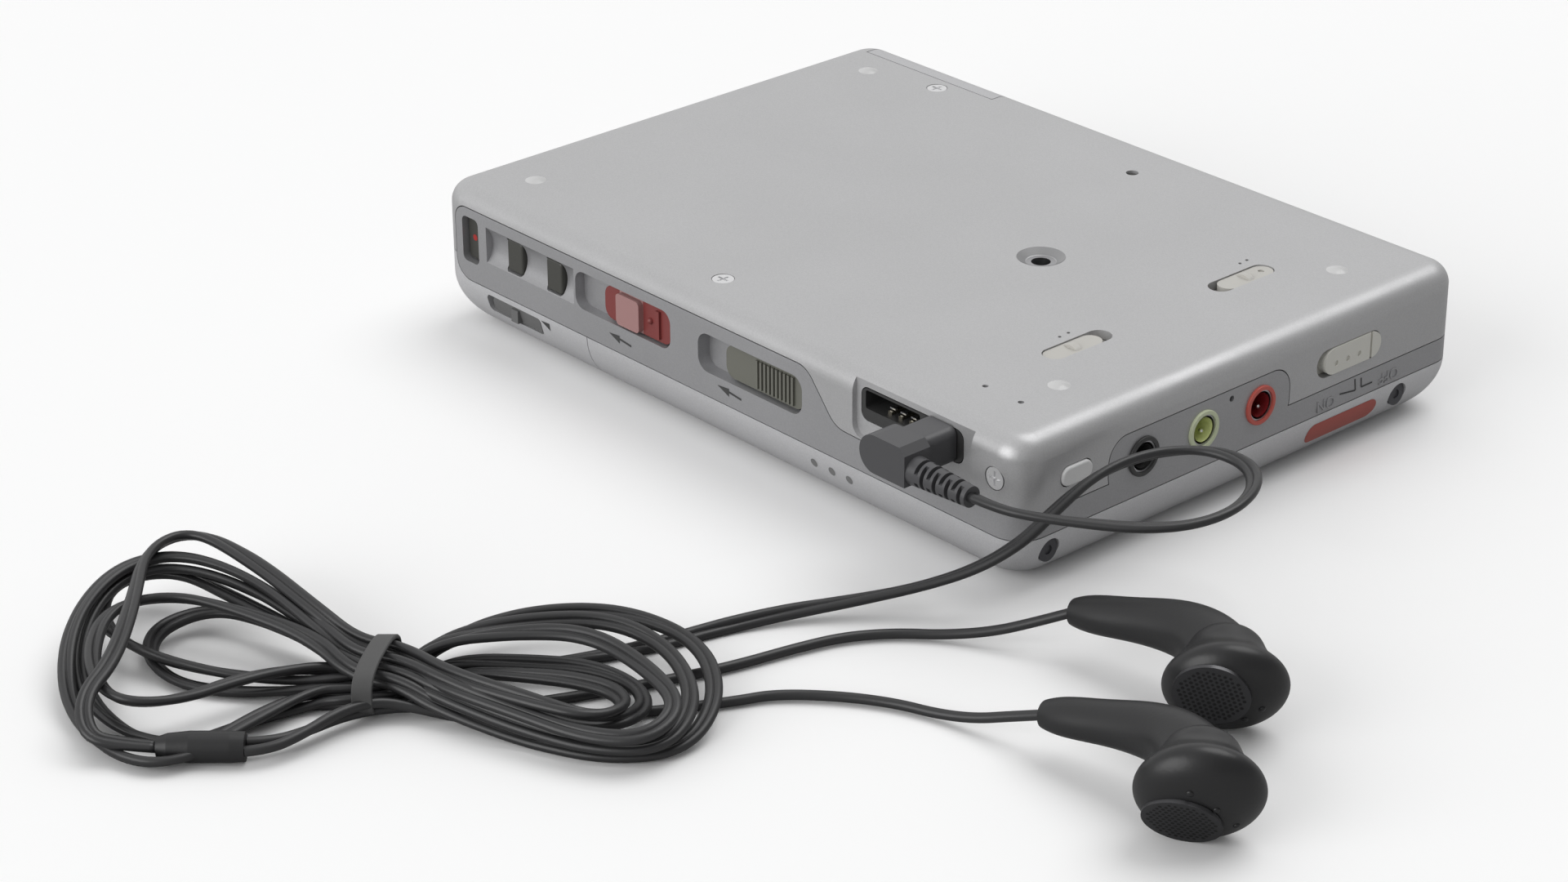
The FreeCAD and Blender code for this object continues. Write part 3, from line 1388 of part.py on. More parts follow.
# The elbow of the plug seen from the front: a bar whose left end is fully round
ELBOW_LEFT, ELBOW_RIGHT = -4.7, 2.9
ELBOW_FRONT, ELBOW_BACK = -8.7, -4.6
ELBOW_LOW, ELBOW_HIGH = -2.3, 2.6
ELBOW_ROUND = (ELBOW_HIGH - ELBOW_LOW) / 2
ELBOW_MIDDLE = (ELBOW_HIGH + ELBOW_LOW) / 2
ELBOW_BEVEL = 0.9
elbow_edges = [
    ((ELBOW_LEFT + ELBOW_ROUND, ELBOW_LOW), (ELBOW_RIGHT, ELBOW_LOW)),
    ((ELBOW_RIGHT, ELBOW_LOW), (ELBOW_RIGHT, ELBOW_HIGH - ELBOW_BEVEL)),
    ((ELBOW_RIGHT, ELBOW_HIGH - ELBOW_BEVEL), (ELBOW_RIGHT - ELBOW_BEVEL, ELBOW_HIGH)),
    ((ELBOW_RIGHT - ELBOW_BEVEL, ELBOW_HIGH), (ELBOW_LEFT + ELBOW_ROUND, ELBOW_HIGH)),
    (
        (ELBOW_LEFT + ELBOW_ROUND, ELBOW_HIGH), (ELBOW_LEFT, ELBOW_MIDDLE), (ELBOW_LEFT + ELBOW_ROUND, ELBOW_LOW),
    ),
]
elbow = padded_outline("plug_elbow", "XZ_Plane", "0", elbow_edges, str(ELBOW_BACK - ELBOW_FRONT))
bind(elbow, "Placement.Base.x", jack_x)
bind(elbow, "Placement.Base.y", f"{plug_face} + {ELBOW_BACK}")
bind(elbow, "Placement.Base.z", "jack_centre")
collar = padded_round("plug_collar", "XZ_Plane", "0", ("-0.1", "0.1"), "5.2", "4.7", "1.1", f"{-ELBOW_BACK} + 0.4")
at_jack(collar)
relief_z = -0.6
node("plug_body", cut(
    "plug_body_cut", join("plug_body_solid", elbow, collar),
    rod("plug_pin_seat", "Y", (jack_x, f"{plug_face} - 3", "jack_centre"), "4", "jack_bore - 0.05"),
))
PIN_PROFILE = [
    (0, -3), (1.75, -3), (1.75, 6.4), (1.6, 6.5), (1.6, 6.9), (1.75, 7.0), (1.75, 9.6), (1.6, 9.7),
    (1.6, 10.1), (1.75, 10.2), (1.75, 10.9), (1.2, 11.6), (1.55, 12.6), (1.5, 13.3), (0.8, 14), (0, 14),
]
node("plug_pin", revolved("plug_pin_turned", PIN_PROFILE, (jack_x, plug_face, "jack_centre"), "Y"))

# Strain relief: a tapered sleeve with slots cut by turns from above and below, and from both sides
RELIEF_LENGTH = 9.1
RELIEF_START, RELIEF_END = 1.8, 1.3
RELIEF_CORD = 0.55
RELIEF_SLOT = 0.55
RELIEF_PITCH = 1.9
RELIEF_FIRST = 1.3
relief_y = f"{plug_face} - 6.8"
relief_x = f"{jack_x} + {ELBOW_RIGHT}"
relief_height = f"jack_centre + {relief_z}"
relief_profile = [(0, 0), (RELIEF_START, 0), (RELIEF_END, RELIEF_LENGTH), (0, RELIEF_LENGTH)]
relief_slots = []
for index in range(4):
    for step, turn in ((0, "level"), (RELIEF_PITCH / 2, "upright")):
        along = RELIEF_FIRST + index * RELIEF_PITCH + step
        span_x = (f"{relief_x} + {along}", f"{relief_x} + {along + RELIEF_SLOT}")
        if along + RELIEF_SLOT > RELIEF_LENGTH - 0.4:
            continue
        for side in (-1, 1):
            inner, outer = sorted((side * RELIEF_CORD, side * (RELIEF_START + 1)))
            wide = (-RELIEF_START - 1, RELIEF_START + 1)
            span_y, span_z = (wide, (inner, outer)) if turn == "level" else ((inner, outer), wide)
            relief_slots.append(block(
                f"relief_slot_{turn}_{index}_{'near' if side < 0 else 'far'}", span_x,
                tuple(f"{relief_y} + ({value})" for value in span_y),
                tuple(f"{relief_height} + ({value})" for value in span_z),
            ))
node("strain_relief", cut(
    "strain_relief_cut", revolved("strain_relief_turned", relief_profile, (relief_x, relief_y, relief_height), "X"),
    *relief_slots,
))

# Disc drive: chassis with its posts, holder, spindle, sled and head arm
bay_x = from_right("bay_centre_from_right")
bay_left = f"({bay_x} - disc_bay_width / 2)"
bay_right = f"({bay_x} + disc_bay_width / 2)"
bay_back = from_rear("bay_back_from_rear")
bay_front = f"({bay_back} - disc_bay_depth)"
bay_mid_y = f"({bay_back} - disc_bay_depth / 2)"
chassis_top = "chassis_low + chassis_sheet"
pivot_y = from_rear("holder_pivot_from_rear")
spindle_y = bay_mid_y
lens_x = f"{bay_x} - lens_from_centre"
arm_left = f"{lens_x} - arm_width / 2"
arm_right = f"{lens_x} + arm_width / 2"
chassis_plate = block(
    "chassis_sheet_plate", (from_left("30.4"), from_right("2.65")), (from_front("3.5"), from_rear("3.3")),
    ("chassis_low", chassis_top),
)
shaft_right = f"({bay_x} + 5.4)"
chassis_left_tab = block(
    "chassis_left_tab", (from_left("28.7"), from_left("29.2")), (f"{spindle_y} - 18.5", f"{spindle_y} + 14"),
    ("chassis_low", "13"),
)
chassis_left_foot = block(
    "chassis_left_foot", (from_left("28.7"), from_left("32")), (f"{spindle_y} - 18.5", f"{spindle_y} + 14"),
    ("chassis_low", chassis_top),
)
shaft_tabs = [
    block(
        f"shaft_tab_{name}", (shaft_right, f"{shaft_right} + 0.6"),
        (f"{spindle_y} + {side} * guide_offset - 1.3", f"{spindle_y} + {side} * guide_offset + 1.3"),
        ("chassis_low", "13"),
    )
    for name, side in (("front", -1), ("rear", 1))
]
holder_ears = []
for name, low, high in (("left", f"{bay_left} - 1", f"{bay_left} - 0.5"), ("right", f"{bay_right} + 0.5", f"{bay_right} + 1")):
    holder_ears.append(block(
        f"holder_ear_{name}", (low, high), (f"{pivot_y} - 1.1", f"{pivot_y} + 1.1"), ("holder_pivot_height", chassis_top),
    ))
    holder_ears.append(rod(
        f"holder_ear_round_{name}", "X", (low, pivot_y, "holder_pivot_height"), f"{high} - ({low})", "1.1",
    ))
chassis_tools = [
    rod("spindle_opening", "Z", (bay_x, spindle_y, "0"), "12", "7"),
    block(
        "lens_opening", (f"{lens_x} - sled_travel - 4", f"{lens_x} + 4"), (f"{spindle_y} - 7", f"{spindle_y} + 7"),
        ("chassis_low - 1", f"{chassis_top} + 0.2"),
    ),
    block(
        "arm_opening", (f"{arm_left} - sled_travel - 1.5", f"{arm_right} + 1.5"), (f"{pivot_y} - 1.4", REAR_END),
        ("chassis_low - 1", f"{chassis_top} + 0.2"),
    ),
    block(
        "latch_opening", (from_left("56.5"), from_left("68.5")), (FRONT_END, from_front("4.6")),
        ("chassis_low - 1", f"{chassis_top} + 0.2"),
    ),
    rod(
        "holder_ear_bore", "X", (f"{bay_left} - 3", pivot_y, "holder_pivot_height"), "disc_bay_width + 6",
        "holder_pin + pin_clearance",
    ),
    rod("front_shaft_seat", "X", (LEFT_END, f"{spindle_y} - guide_offset", "guide_height"), "case_width", "guide_shaft"),
    rod("rear_shaft_seat", "X", (LEFT_END, f"{spindle_y} + guide_offset", "guide_height"), "case_width", "guide_shaft"),
    rod(
        "lead_screw_seat", "X", (LEFT_END, f"{spindle_y} - lead_screw_offset", "lead_screw_height"), "60",
        "lead_screw_radius + 0.06",
    ),
]
for name, x, y in DAMPERS:
    chassis_tools.append(rod(f"damper_seat_{name}", "Z", (x, y, "chassis_low - 1"), "3", "0.9"))
chassis_solid = join("chassis_solid", chassis_plate, chassis_left_tab, chassis_left_foot, *shaft_tabs, *holder_ears)
node("chassis", cut("chassis_cut", chassis_solid, *chassis_tools))
node("dampers", group("damper_group", *[
    join(
        f"damper_{name}",
        rod(f"damper_body_{name}", "Z", (x, y, damper_low), f"{damper_top} - ({damper_low})", "1.7"),
        rod(f"damper_plug_{name}", "Z", (x, y, "chassis_low - 0.2"), f"chassis_sheet + 0.3", "0.9"),
    )
    for name, x, y in DAMPERS
]))

# Spindle motor hangs over the disc; its turntable nose reaches into the cartridge
motor_low = f"({chassis_top} + 0.1)"
node("spindle_motor", cut(
    "spindle_motor_cut",
    join(
        "spindle_motor_solid",
        rod("motor_can", "Z", (bay_x, spindle_y, motor_low), "motor_height", "motor_radius"),
        rod("motor_step", "Z", (bay_x, spindle_y, f"{motor_low} + 2.5"), "1.2", "motor_radius - 2"),
    ),
    rod("motor_bore", "Z", (bay_x, spindle_y, "0"), "chassis_low + 4.2", "spindle_radius + 0.05"),
))
TABLE_NOSE = 1.6
table_plate = rod("table_plate", "Z", (bay_x, spindle_y, "turntable_nose + 0.8"), "0.5", "turntable_radius")
table_nose = taper("table_nose", "Z", (bay_x, spindle_y, "turntable_nose"), "0.9", f"{TABLE_NOSE}", f"{TABLE_NOSE} + 0.5")
table_hub = rod("table_hub", "Z", (bay_x, spindle_y, "turntable_nose + 1.2"), "0.5", "2.4")
table_shaft = rod("table_shaft", "Z", (bay_x, spindle_y, "turntable_nose + 1"), "4", "spindle_radius")
table_key = block(
    "table_key", (f"{bay_x} + 2.9", f"{bay_x} + 4.2"), (f"{spindle_y} - 0.5", f"{spindle_y} + 0.5"),
    ("turntable_nose + 0.55", "turntable_nose + 0.9"),
)
node("turntable", join("turntable_solid", table_plate, table_nose, table_hub, table_shaft, table_key))

# Pickup sled on two shafts, driven along by a lead screw
sled_left = f"({bay_x} - motor_radius - 14.9)"
sled_right = f"({bay_x} - motor_radius - 0.8)"
sled_low = f"({chassis_top} + 0.3)"
sled_body = block(
    "sled_body", (sled_left, sled_right), (f"{spindle_y} - guide_offset - 1.6", f"{spindle_y} + guide_offset + 1.6"),
    (sled_low, "13.2"),
)
sled_hollow = block(
    "sled_hollow", (f"{sled_left} + 1.6", f"{sled_right} - 1.6"),
    (f"{spindle_y} - guide_offset + 2.4", f"{spindle_y} + guide_offset - 2.4"), (f"{sled_low} + 1.2", "14"),
)
nut_arm = block(
    "nut_arm", (f"{sled_left} + 5", f"{sled_left} + 9"),
    (f"{spindle_y} - lead_screw_offset - 1.8", f"{spindle_y} - guide_offset"), ("10.2", "13.2"),
)
arm_bridge = block(
    "arm_bridge", (arm_left, arm_right), (f"{spindle_y} + guide_offset", f"{pivot_y} + 1.0"), (sled_low, f"{sled_low} + 0.9"),
)
arm_cheeks = []
for name, low in (("left", arm_left), ("right", f"{arm_right} - 0.6")):
    arm_cheeks.append(block(
        f"arm_cheek_{name}", (low, f"{low} + 0.6"), (f"{pivot_y} - 0.9", f"{pivot_y} + 0.9"),
        ("holder_pivot_height", f"{sled_low} + 0.5"),
    ))
    arm_cheeks.append(rod(f"arm_cheek_round_{name}", "X", (low, pivot_y, "holder_pivot_height"), "0.6", "0.9"))
arm_pin = rod("arm_pin", "X", (arm_left, pivot_y, "holder_pivot_height"), "arm_width", "holder_pin")
node("pickup_sled", cut(
    "pickup_sled_cut", join("sled_solid", cut("sled_open", sled_body, sled_hollow), nut_arm, arm_bridge, *arm_cheeks, arm_pin),
    rod("sled_front_bore", "X", (LEFT_END, f"{spindle_y} - guide_offset", "guide_height"), "case_width", "guide_shaft + 0.06"),
    rod("sled_rear_bore", "X", (LEFT_END, f"{spindle_y} + guide_offset", "guide_height"), "case_width", "guide_shaft + 0.06"),
    rod(
        "sled_nut_bore", "X", (LEFT_END, f"{spindle_y} - lead_screw_offset", "lead_screw_height"), "case_width",
        "lead_screw_radius + 0.08",
    ),
    rod("lens_seat", "Z", (lens_x, spindle_y, "5"), "8", "lens_radius + 0.1"),
))
lens_ring = cut(
    "lens_ring",
    rod("lens_holder", "Z", (lens_x, spindle_y, "chassis_low + 0.1"), "3", "lens_radius + 0.05"),
    rod("lens_well", "Z", (lens_x, spindle_y, "chassis_low"), "0.4", "lens_radius - 0.5"),
)
lens_dome = shared(
    "lens_dome",
    ball("lens_ball", (lens_x, spindle_y, "chassis_low + 2.8"), "2.8"),
    rod("lens_column", "Z", (lens_x, spindle_y, "chassis_low - 0.2"), "0.8", "lens_radius - 0.5"),
)
node("pickup_lens", join("pickup_lens_solid", lens_ring, lens_dome))
node("guide_shafts", group("guide_shaft_group", *[
    rod(
        f"guide_shaft_{name}", "X", (from_left("28.9"), f"{spindle_y} + {side} * guide_offset", "guide_height"),
        f"{shaft_right} + 0.5 - {from_left('28.9')}", "guide_shaft",
    )
    for name, side in (("front", -1), ("rear", 1))
]))
screw_y = f"{spindle_y} - lead_screw_offset"
motor_start = f"({bay_x} + 1.5)"
node("lead_screw", rod(
    "lead_screw_rod", "X", (from_left("28.9"), screw_y, "lead_screw_height"),
    f"{motor_start} + 2 - {from_left('28.9')}", "lead_screw_radius",
))
sled_motor_solid = join(
    "sled_motor_solid",
    rod("sled_motor_can", "X", (motor_start, screw_y, "lead_screw_height"), "sled_motor_length", "sled_motor_radius"),
    block(
        "sled_motor_foot", (f"{motor_start} + 1", f"{motor_start} + sled_motor_length - 1"),
        (f"{screw_y} - 2.2", f"{screw_y} + 2.2"), (f"{chassis_top} + 0.02", "lead_screw_height"),
    ),
)
node("sled_motor", cut(
    "sled_motor_cut", sled_motor_solid,
    rod("sled_motor_bore", "X", (f"{motor_start} - 1", screw_y, "lead_screw_height"), "3.3", "lead_screw_radius + 0.06"),
))

# Magnetic head arm under the disc, and the sprung holder that carries the cartridge
ARM_EDGES = polygon_edges([
    (number(f"{spindle_y} - 3"), number("arm_floor")),
    (number(f"{pivot_y} - 0.25"), number("arm_floor")),
    (number(f"{pivot_y} - 0.25"), number("holder_pivot_height + 0.7")),
    (number(f"{pivot_y} - 0.85"), number("holder_pivot_height + 0.7")),
    (number(f"{pivot_y} - 0.85"), number("arm_floor + arm_plate")),
    (number(f"{spindle_y} - 3"), number("arm_floor + arm_plate")),
])
arm_strip = padded_outline(
    "arm_strip", "YZ_Plane", f"{arm_left} + 0.75", ARM_EDGES, "arm_width - 1.5",
)
arm_knuckle = rod(
    "arm_knuckle", "X", (f"{arm_left} + 0.75", pivot_y, "holder_pivot_height"), "arm_width - 1.5", "0.8",
)
head_pad = rod("head_pad", "Z", (lens_x, spindle_y, "arm_floor + 0.1"), "0.65", "1.4")
node("head_arm", cut(
    "head_arm_cut", join("head_arm_solid", arm_strip, arm_knuckle, head_pad),
    rod(
        "head_arm_bore", "X", (f"{arm_left} - 1", pivot_y, "holder_pivot_height"), "arm_width + 2",
        "holder_pin + pin_clearance",
    ),
))
holder_floor = base_plate(
    "holder_floor_plate", bay_x, bay_mid_y, "disc_bay_width + 0.2", "disc_bay_depth", "2.5",
    "holder_floor", "holder_floor + holder_plate",
)
holder_window = block(
    "holder_window", (f"{arm_left} - sled_travel - 0.8", f"{arm_right} + 0.8"),
    (f"{spindle_y} - 4", f"{bay_back} + 3"), ("holder_floor - 1", "holder_floor + 1"),
)
holder_parts = [cut("holder_floor_cut", holder_floor, holder_window)]
for name, wall_low, wall_high, lip_low, lip_high in (
    ("left", f"{bay_left} - 0.1 - holder_sheet", f"{bay_left} - 0.1", f"{bay_left} - 0.1 - holder_sheet", f"{bay_left} + holder_lip"),
    ("right", f"{bay_right} + 0.1", f"{bay_right} + 0.1 + holder_sheet", f"{bay_right} - holder_lip", f"{bay_right} + 0.1 + holder_sheet"),
):
    rail_y = (f"{bay_front} + 2.5", f"{bay_back} - 2.5")
    holder_parts.append(block(f"holder_wall_{name}", (wall_low, wall_high), rail_y, ("holder_floor", "holder_top")))
    holder_parts.append(block(f"holder_lip_{name}", (lip_low, lip_high), rail_y, ("holder_top - holder_sheet", "holder_top")))
    holder_parts.append(block(
        f"holder_tab_{name}", (wall_low, wall_high), (f"{bay_back} - 3", pivot_y),
        ("holder_pivot_height - 1", "holder_pivot_height + 1"),
    ))
    holder_parts.append(rod(
        f"holder_tab_round_{name}", "X", (wall_low, pivot_y, "holder_pivot_height"), f"{wall_high} - ({wall_low})", "1",
    ))
    pin_low, pin_high = (f"{wall_low} - 0.8", wall_high) if name == "left" else (wall_low, f"{wall_high} + 0.8")
    holder_parts.append(rod(
        f"holder_pin_{name}", "X", (pin_low, pivot_y, "holder_pivot_height"), f"{pin_high} - ({pin_low})", "holder_pin",
    ))
holder_parts.append(block(
    "holder_stop", (f"{arm_right} + 1.2", f"{bay_right} - 2.6"), (f"{bay_back}", f"{bay_back} + holder_sheet"),
    ("holder_floor", "holder_floor + 2.5"),
))
holder_parts.append(block(
    "holder_stop_root", (f"{arm_right} + 1.2", f"{bay_right} - 2.6"), (f"{bay_back} - 1", f"{bay_back} + holder_sheet"),
    ("holder_floor", "holder_floor + holder_plate"),
))
holder = join("disc_holder_solid", *holder_parts)
node("disc_holder", holder)

# Main board over the drive, cut away round the jacks, posts and dampers
board_top = "main_board_low + main_board_thickness"
board_plate = block(
    "main_board_plate", (from_left("3"), from_right("2")), (from_front("5.2"), from_rear("3")), ("main_board_low", board_top),
)
board_tools = [
    block("board_side_notch", (from_right("13.5"), RIGHT_END), (from_front("13.5"), from_front("47")), ("10", "18")),
    block("board_front_notch", (from_right("29"), RIGHT_END), (FRONT_END, from_front("16.5")), ("10", "18")),
    block("board_shelf_notch", (from_left("47.7"), from_left("52.8")), (FRONT_END, from_front("8.6")), ("10", "18")),
    block("board_door_notch", (LEFT_END, from_left("30")), (from_rear("4.4"), REAR_END), ("10", "18")),
    rod("board_tray_hole", "Z", (BASE_SCREWS[0][1], BASE_SCREWS[0][2], "10"), "8", "1.7"),
]
for name, x, y in DAMPERS:
    board_tools.append(rod(f"board_post_hole_{name}", "Z", (x, y, "10"), "8", "1.8"))
node("main_board", cut("main_board_cut", board_plate, *board_tools))

# Earphones. Each is drawn with its middle at the origin, its grille facing +Z and its stem
# leaning back along +X, then turned to lie as it does on the table.
BUD_PROFILE = [
    (0, 2.95), (2.3, 2.8), (4.4, 2.3), (5.9, 1.45), (6.7, 0.5), (6.95, -0.35), (6.75, -1.2), (6.15, -2.0),
    (5.2, -3.1), (4.5, -4.4), (3.9, -5.7), (2.6, -6.8), (0, -7.2),
]
# Sections of the stem: place in the plane of the bend, turn from the bud's axis, half sizes
STEM_SECTIONS = [
    (0.6, -2.6, 8, 4.1, 4.1),
    (1.6, -5.8, 24, 3.9, 3.7),
    (4.5, -8.7, 52, 3.3, 3.0),
    (8.9, -11.1, 66, 2.8, 2.5),
    (13.5, -13.1, 68, 2.45, 2.15),
    (17.0, -14.6, 68, 2.1, 1.85),
    (18.7, -15.3, 68, 1.6, 1.45),
]
GRILLE_RADIUS = 4.3
GRILLE_OFFSET = 2.5
GRILLE_HEIGHT = 2.0
GRILLE_TILT = 13
CORD_NOTCH = 0.63


def turned(name, shape_object, placement):
    """Copy of a solid carried to another place."""
    result = doc.addObject("Part::Compound", name)
    result.Links = [shape_object]
    result.Placement = placement
    return result


def smooth_revolved(name, points):
    """Body of revolution about Z whose outline is one smooth curve through (radius, height) points."""
    curve = Part.BSplineCurve()
    places = [Vector(radius, 0, height) for radius, height in points]
    curve.interpolate(Points=places, InitialTangent=Vector(1, 0, 0), FinalTangent=Vector(-1, 0, 0))
    closing = Part.LineSegment(places[-1], places[0])
    face = Part.Face(Part.Wire([curve.toShape(), closing.toShape()]))
    feature = doc.addObject("Part::Feature", name)
    feature.Shape = face.revolve(Vector(0, 0, 0), Vector(0, 0, 1), 360)
    return feature


def earphone(label, middle, facing, toward_stem, grille_side):
    """One earphone: a shell with its stem, and the grille in its face."""
    bud = smooth_revolved(label + "_bud", BUD_PROFILE)
    wires = []
    for index, (x, z, turn, half_wide, half_thick) in enumerate(STEM_SECTIONS):
        wire = doc.addObject("Part::Ellipse", f"{label}_section_{index}")
        wire.MajorRadius = half_wide
        wire.MinorRadius = half_thick
        wire.Placement = Placement(Vector(x, 0, z), Rotation(Vector(0, 1, 0), -turn))
        wires.append(wire)
    stem = doc.addObject("Part::Loft", label + "_stem")
    stem.Sections = wires
    stem.Solid = True
    angle = math.radians(grille_side)
    grille_middle = Vector(GRILLE_OFFSET * math.cos(angle), GRILLE_OFFSET * math.sin(angle), GRILLE_HEIGHT)
    lean = Rotation(Vector(-math.sin(angle), math.cos(angle), 0), GRILLE_TILT)
    grille = doc.addObject("Part::Cylinder", label + "_grille_disc")
    grille.Radius = GRILLE_RADIUS
    grille.Height = 0.45
    grille.Placement = Placement(grille_middle, lean)
    seat = doc.addObject("Part::Cylinder", label + "_grille_seat")
    seat.Radius = GRILLE_RADIUS
    seat.Height = 3
    seat.Placement = grille.Placement
    notch = doc.addObject("Part::Cylinder", label + "_cord_notch")
    notch.Radius = CORD_NOTCH
    notch.Height = 3
    tip_x, tip_z, tip_turn = STEM_SECTIONS[-1][:3]
    notch.Placement = Placement(
        Vector(tip_x - 1.4, 0, tip_z + 0.5), Rotation(Vector(0, 1, 0), 180 - tip_turn),
    )
    shell = cut(label + "_shell_cut", join(label + "_shell_solid", bud, stem), seat, notch)
    normal = Vector(*facing)
    normal.normalize()
    along = Vector(*toward_stem)
    along = along - normal * along.dot(normal)
    along.normalize()
    lay = Placement(Vector(*middle), Rotation(along, normal.cross(along), normal))
    node(label + "_shell", turned(label + "_shell_laid", shell, lay))
    grilles.append(turned(label + "_grille_laid", grille, lay))
    tip = lay.multVec(Vector(tip_x + 0.4, 0, tip_z - 0.2))
    print(label, "stem tip", [round(value, 2) for value in tip])
    return tip


grilles = []
earphone("earphone_left", (91.09, -44.24, 6.25), (0.616, -0.648, -0.448), (-0.785, -0.457, -0.418), -79)
earphone("earphone_right", (104.07, -62.47, 6.4), (0.613, -0.689, -0.386), (-0.784, -0.469, -0.408), 22)
node("earphone_grilles", group("earphone_grille_pair", *grilles))

# Cords: straight runs joined by tangent arcs. The flat pair is drawn as a round
# tube of the same section. Points beside the hank are in the hank's own directions.
PAIR_RADIUS = 0.85
SINGLE_RADIUS = 0.6
TIE_MIDDLE = Vector(23.5, -108.1, 0)
HANK_ANGLE = 48
hank_lie = Placement(TIE_MIDDLE, Rotation(Vector(0, 0, 1), HANK_ANGLE))


def beside_hank(points):
    """Route points given along, across and above the hank, in the part's frame."""
    return [tuple(hank_lie.multVec(Vector(*point))) for point in points]


MAIN_ROUTE = [
    (53.02, -45.5, 15.4), (57.2, -45.45, 15.4), (61.4, -43.5, 15.3), (65.6, -40.6, 15.2), (70.7, -36.9, 15.2),
    (74.6, -32.3, 15.4), (75.9, -26.7, 15.8), (73.9, -20.8, 16.0), (69.7, -17.2, 16.1), (64.6, -17.4, 16.1),
    (60.7, -20.7, 15.9), (58.7, -25.8, 15.6), (57.9, -31.1, 14.7), (57.5, -36.2, 12.5), (56.6, -40.6, 9.4),
    (53.6, -44.9, 6.2), (49.2, -49.8, 3.8), (44.2, -55.8, 2.2), (39.8, -62.2, 1.3),
] + beside_hank([
    (37.4, 15.9, 1.1), (30.8, 12.3, 1.1), (24.2, 9.6, 1.15), (17.6, 7.9, 1.4), (12.4, 7.5, 1.7), (8.0, 7.5, 1.7),
])
LEFT_ROUTE = [
    (66.5, -43.1, 5.0), (63.3, -45.7, 3.4), (59.8, -48.6, 1.9), (55.4, -51.9, 0.9), (51.2, -55.6, 0.8),
    (48.0, -60.4, 0.8), (46.3, -65.9, 0.8),
] + beside_hank([
    (41.4, 8.6, 0.9), (37.0, 6.2, 2.7), (31.6, 3.3, 3.5), (25.8, -0.2, 3.45), (19.8, -3.4, 3.45),
    (13.6, -6.3, 3.5), (8.2, -7.4, 3.6), (3.4, -7.3, 4.0), (-3.4, -7.4, 4.0), (-6.4, -8.7, 3.3),
    (-9.4, -11.15, 1.9), (-12.9, -11.15, 1.9),
])
RIGHT_ROUTE = [
    (79.5, -60.9, 4.4), (75.8, -61.9, 3.0), (72.0, -63.2, 1.6), (67.6, -64.6, 0.8), (62.8, -66.4, 0.8),
    (57.6, -69.8, 0.8),
] + beside_hank([
    (44.1, 0.8, 0.9), (38.4, -0.7, 2.6), (32.4, -2.9, 3.5), (26.0, -5.2, 3.45), (19.8, -7.5, 3.45),
    (13.8, -9.0, 3.5), (8.2, -9.6, 3.6), (3.4, -9.3, 4.0), (-3.4, -9.5, 4.0), (-6.0, -11.1, 3.2),
    (-9.4, -13.05, 1.9), (-12.9, -13.05, 1.9),
])
ARC_SHARE = 0.45


def cord_path(points, radius):
    """Wire of straight runs and tangent arcs through the bends of a route."""
    places = [Vector(*point) for point in points]
    edges = []
    bends = []
    start = places[0]
    for before, corner, after in zip(places, places[1:], places[2:]):
        toward = (corner - before)
        away = (after - corner)
        turn = toward.getAngle(away)
        bend = ARC_SHARE * min(toward.Length, away.Length) / math.tan(turn / 2)
        reach = bend * math.tan(turn / 2)
        toward.normalize()
        away.normalize()
        entry = corner - toward * reach
        leave = corner + away * reach
        inward = away - toward
        inward.normalize()
        middle = corner + inward * (bend / math.cos(turn / 2) - bend)
        edges.append(Part.LineSegment(start, entry).toShape())
        edges.append(Part.Arc(entry, middle, leave).toShape())
        bends.append(bend)
        start = leave
    edges.append(Part.LineSegment(start, places[-1]).toShape())
    print("cord radii", [round(bend / (2 * radius), 1) for bend in bends], "diameters")
    return Part.Wire(edges)


def cord_tube(label, path, radius):
    """Cord of round section along a wire, in one tube."""
    first = path.Edges[0]
    direction = first.tangentAt(first.FirstParameter)
    section = Part.Wire(Part.Circle(first.valueAt(first.FirstParameter), direction, radius).toShape())
    shell = path.makePipeShell([section], True, False)
    length = path.Length
    print(label, "length", round(length, 1), "volume share", round(shell.Volume / (length * math.pi * radius ** 2), 4))
    feature = doc.addObject("Part::Feature", label + "_tube")
    feature.Shape = shell
    return feature


for label, route, radius in (
    ("main_lead", MAIN_ROUTE, PAIR_RADIUS),
    ("left_lead", LEFT_ROUTE, SINGLE_RADIUS),
    ("right_lead", RIGHT_ROUTE, SINGLE_RADIUS),
):
    node(label, cord_tube(label, cord_path(route, radius), radius))

# Wound hank: six loops of the flex in two layers, drawn in alike by the tie. The
# first layer winds inward and the second outward, and the last loop ends in the
# splitter. Along is towards the jacks, across is away from the table's edge.
LOOPS = 6
TURN_MIDDLE = 2.5
STRAND_STEP = 3.0
LAYER_STEP = 3.25
WAIST_HALF = 2.9
WAIST_LOW = 1.7
HANK_START = 8.0
LEFT_LOW = 1.15
LEFT_LAYER = 2.8
LEFT_REACH = (22.5, 4.6, 2.9)
LEFT_TOP = (2.2, 5.5, 1.2)
LEFT_BOTTOM = (1.0, 2.9, 0.0)
LEFT_RISE = (-0.2, 1.6)
APEX_RISE = 0.4
TOP_SHARE = 0.68
BOTTOM_SHARE = 0.62
APEX_SHARE = 0.6
RIGHT_LOW = (1.15, 6.0)
RIGHT_PASS = (1.25, 5.85)
RIGHT_REACH = (30.0, 26.2, 22.4, 32.0, 36.0)
RIGHT_TOP = (4.8, 1.5, -1.4, 7.6, 12.0)
RIGHT_BOTTOM = (15.2, 10.6, 6.0, 9.0, 14.8)
RIGHT_SHARE = 0.64
RIGHT_RUN = (1.35, 5.45)
SLANT = 1.18
CLIMB_LOOP = 2
CLIMB_STATIONS = (((16.0, -1.4, 1.7), (-1, 0.05, 0.12)), ((9.0, 0.0, 3.7), (-1, 0.25, 0.25)))
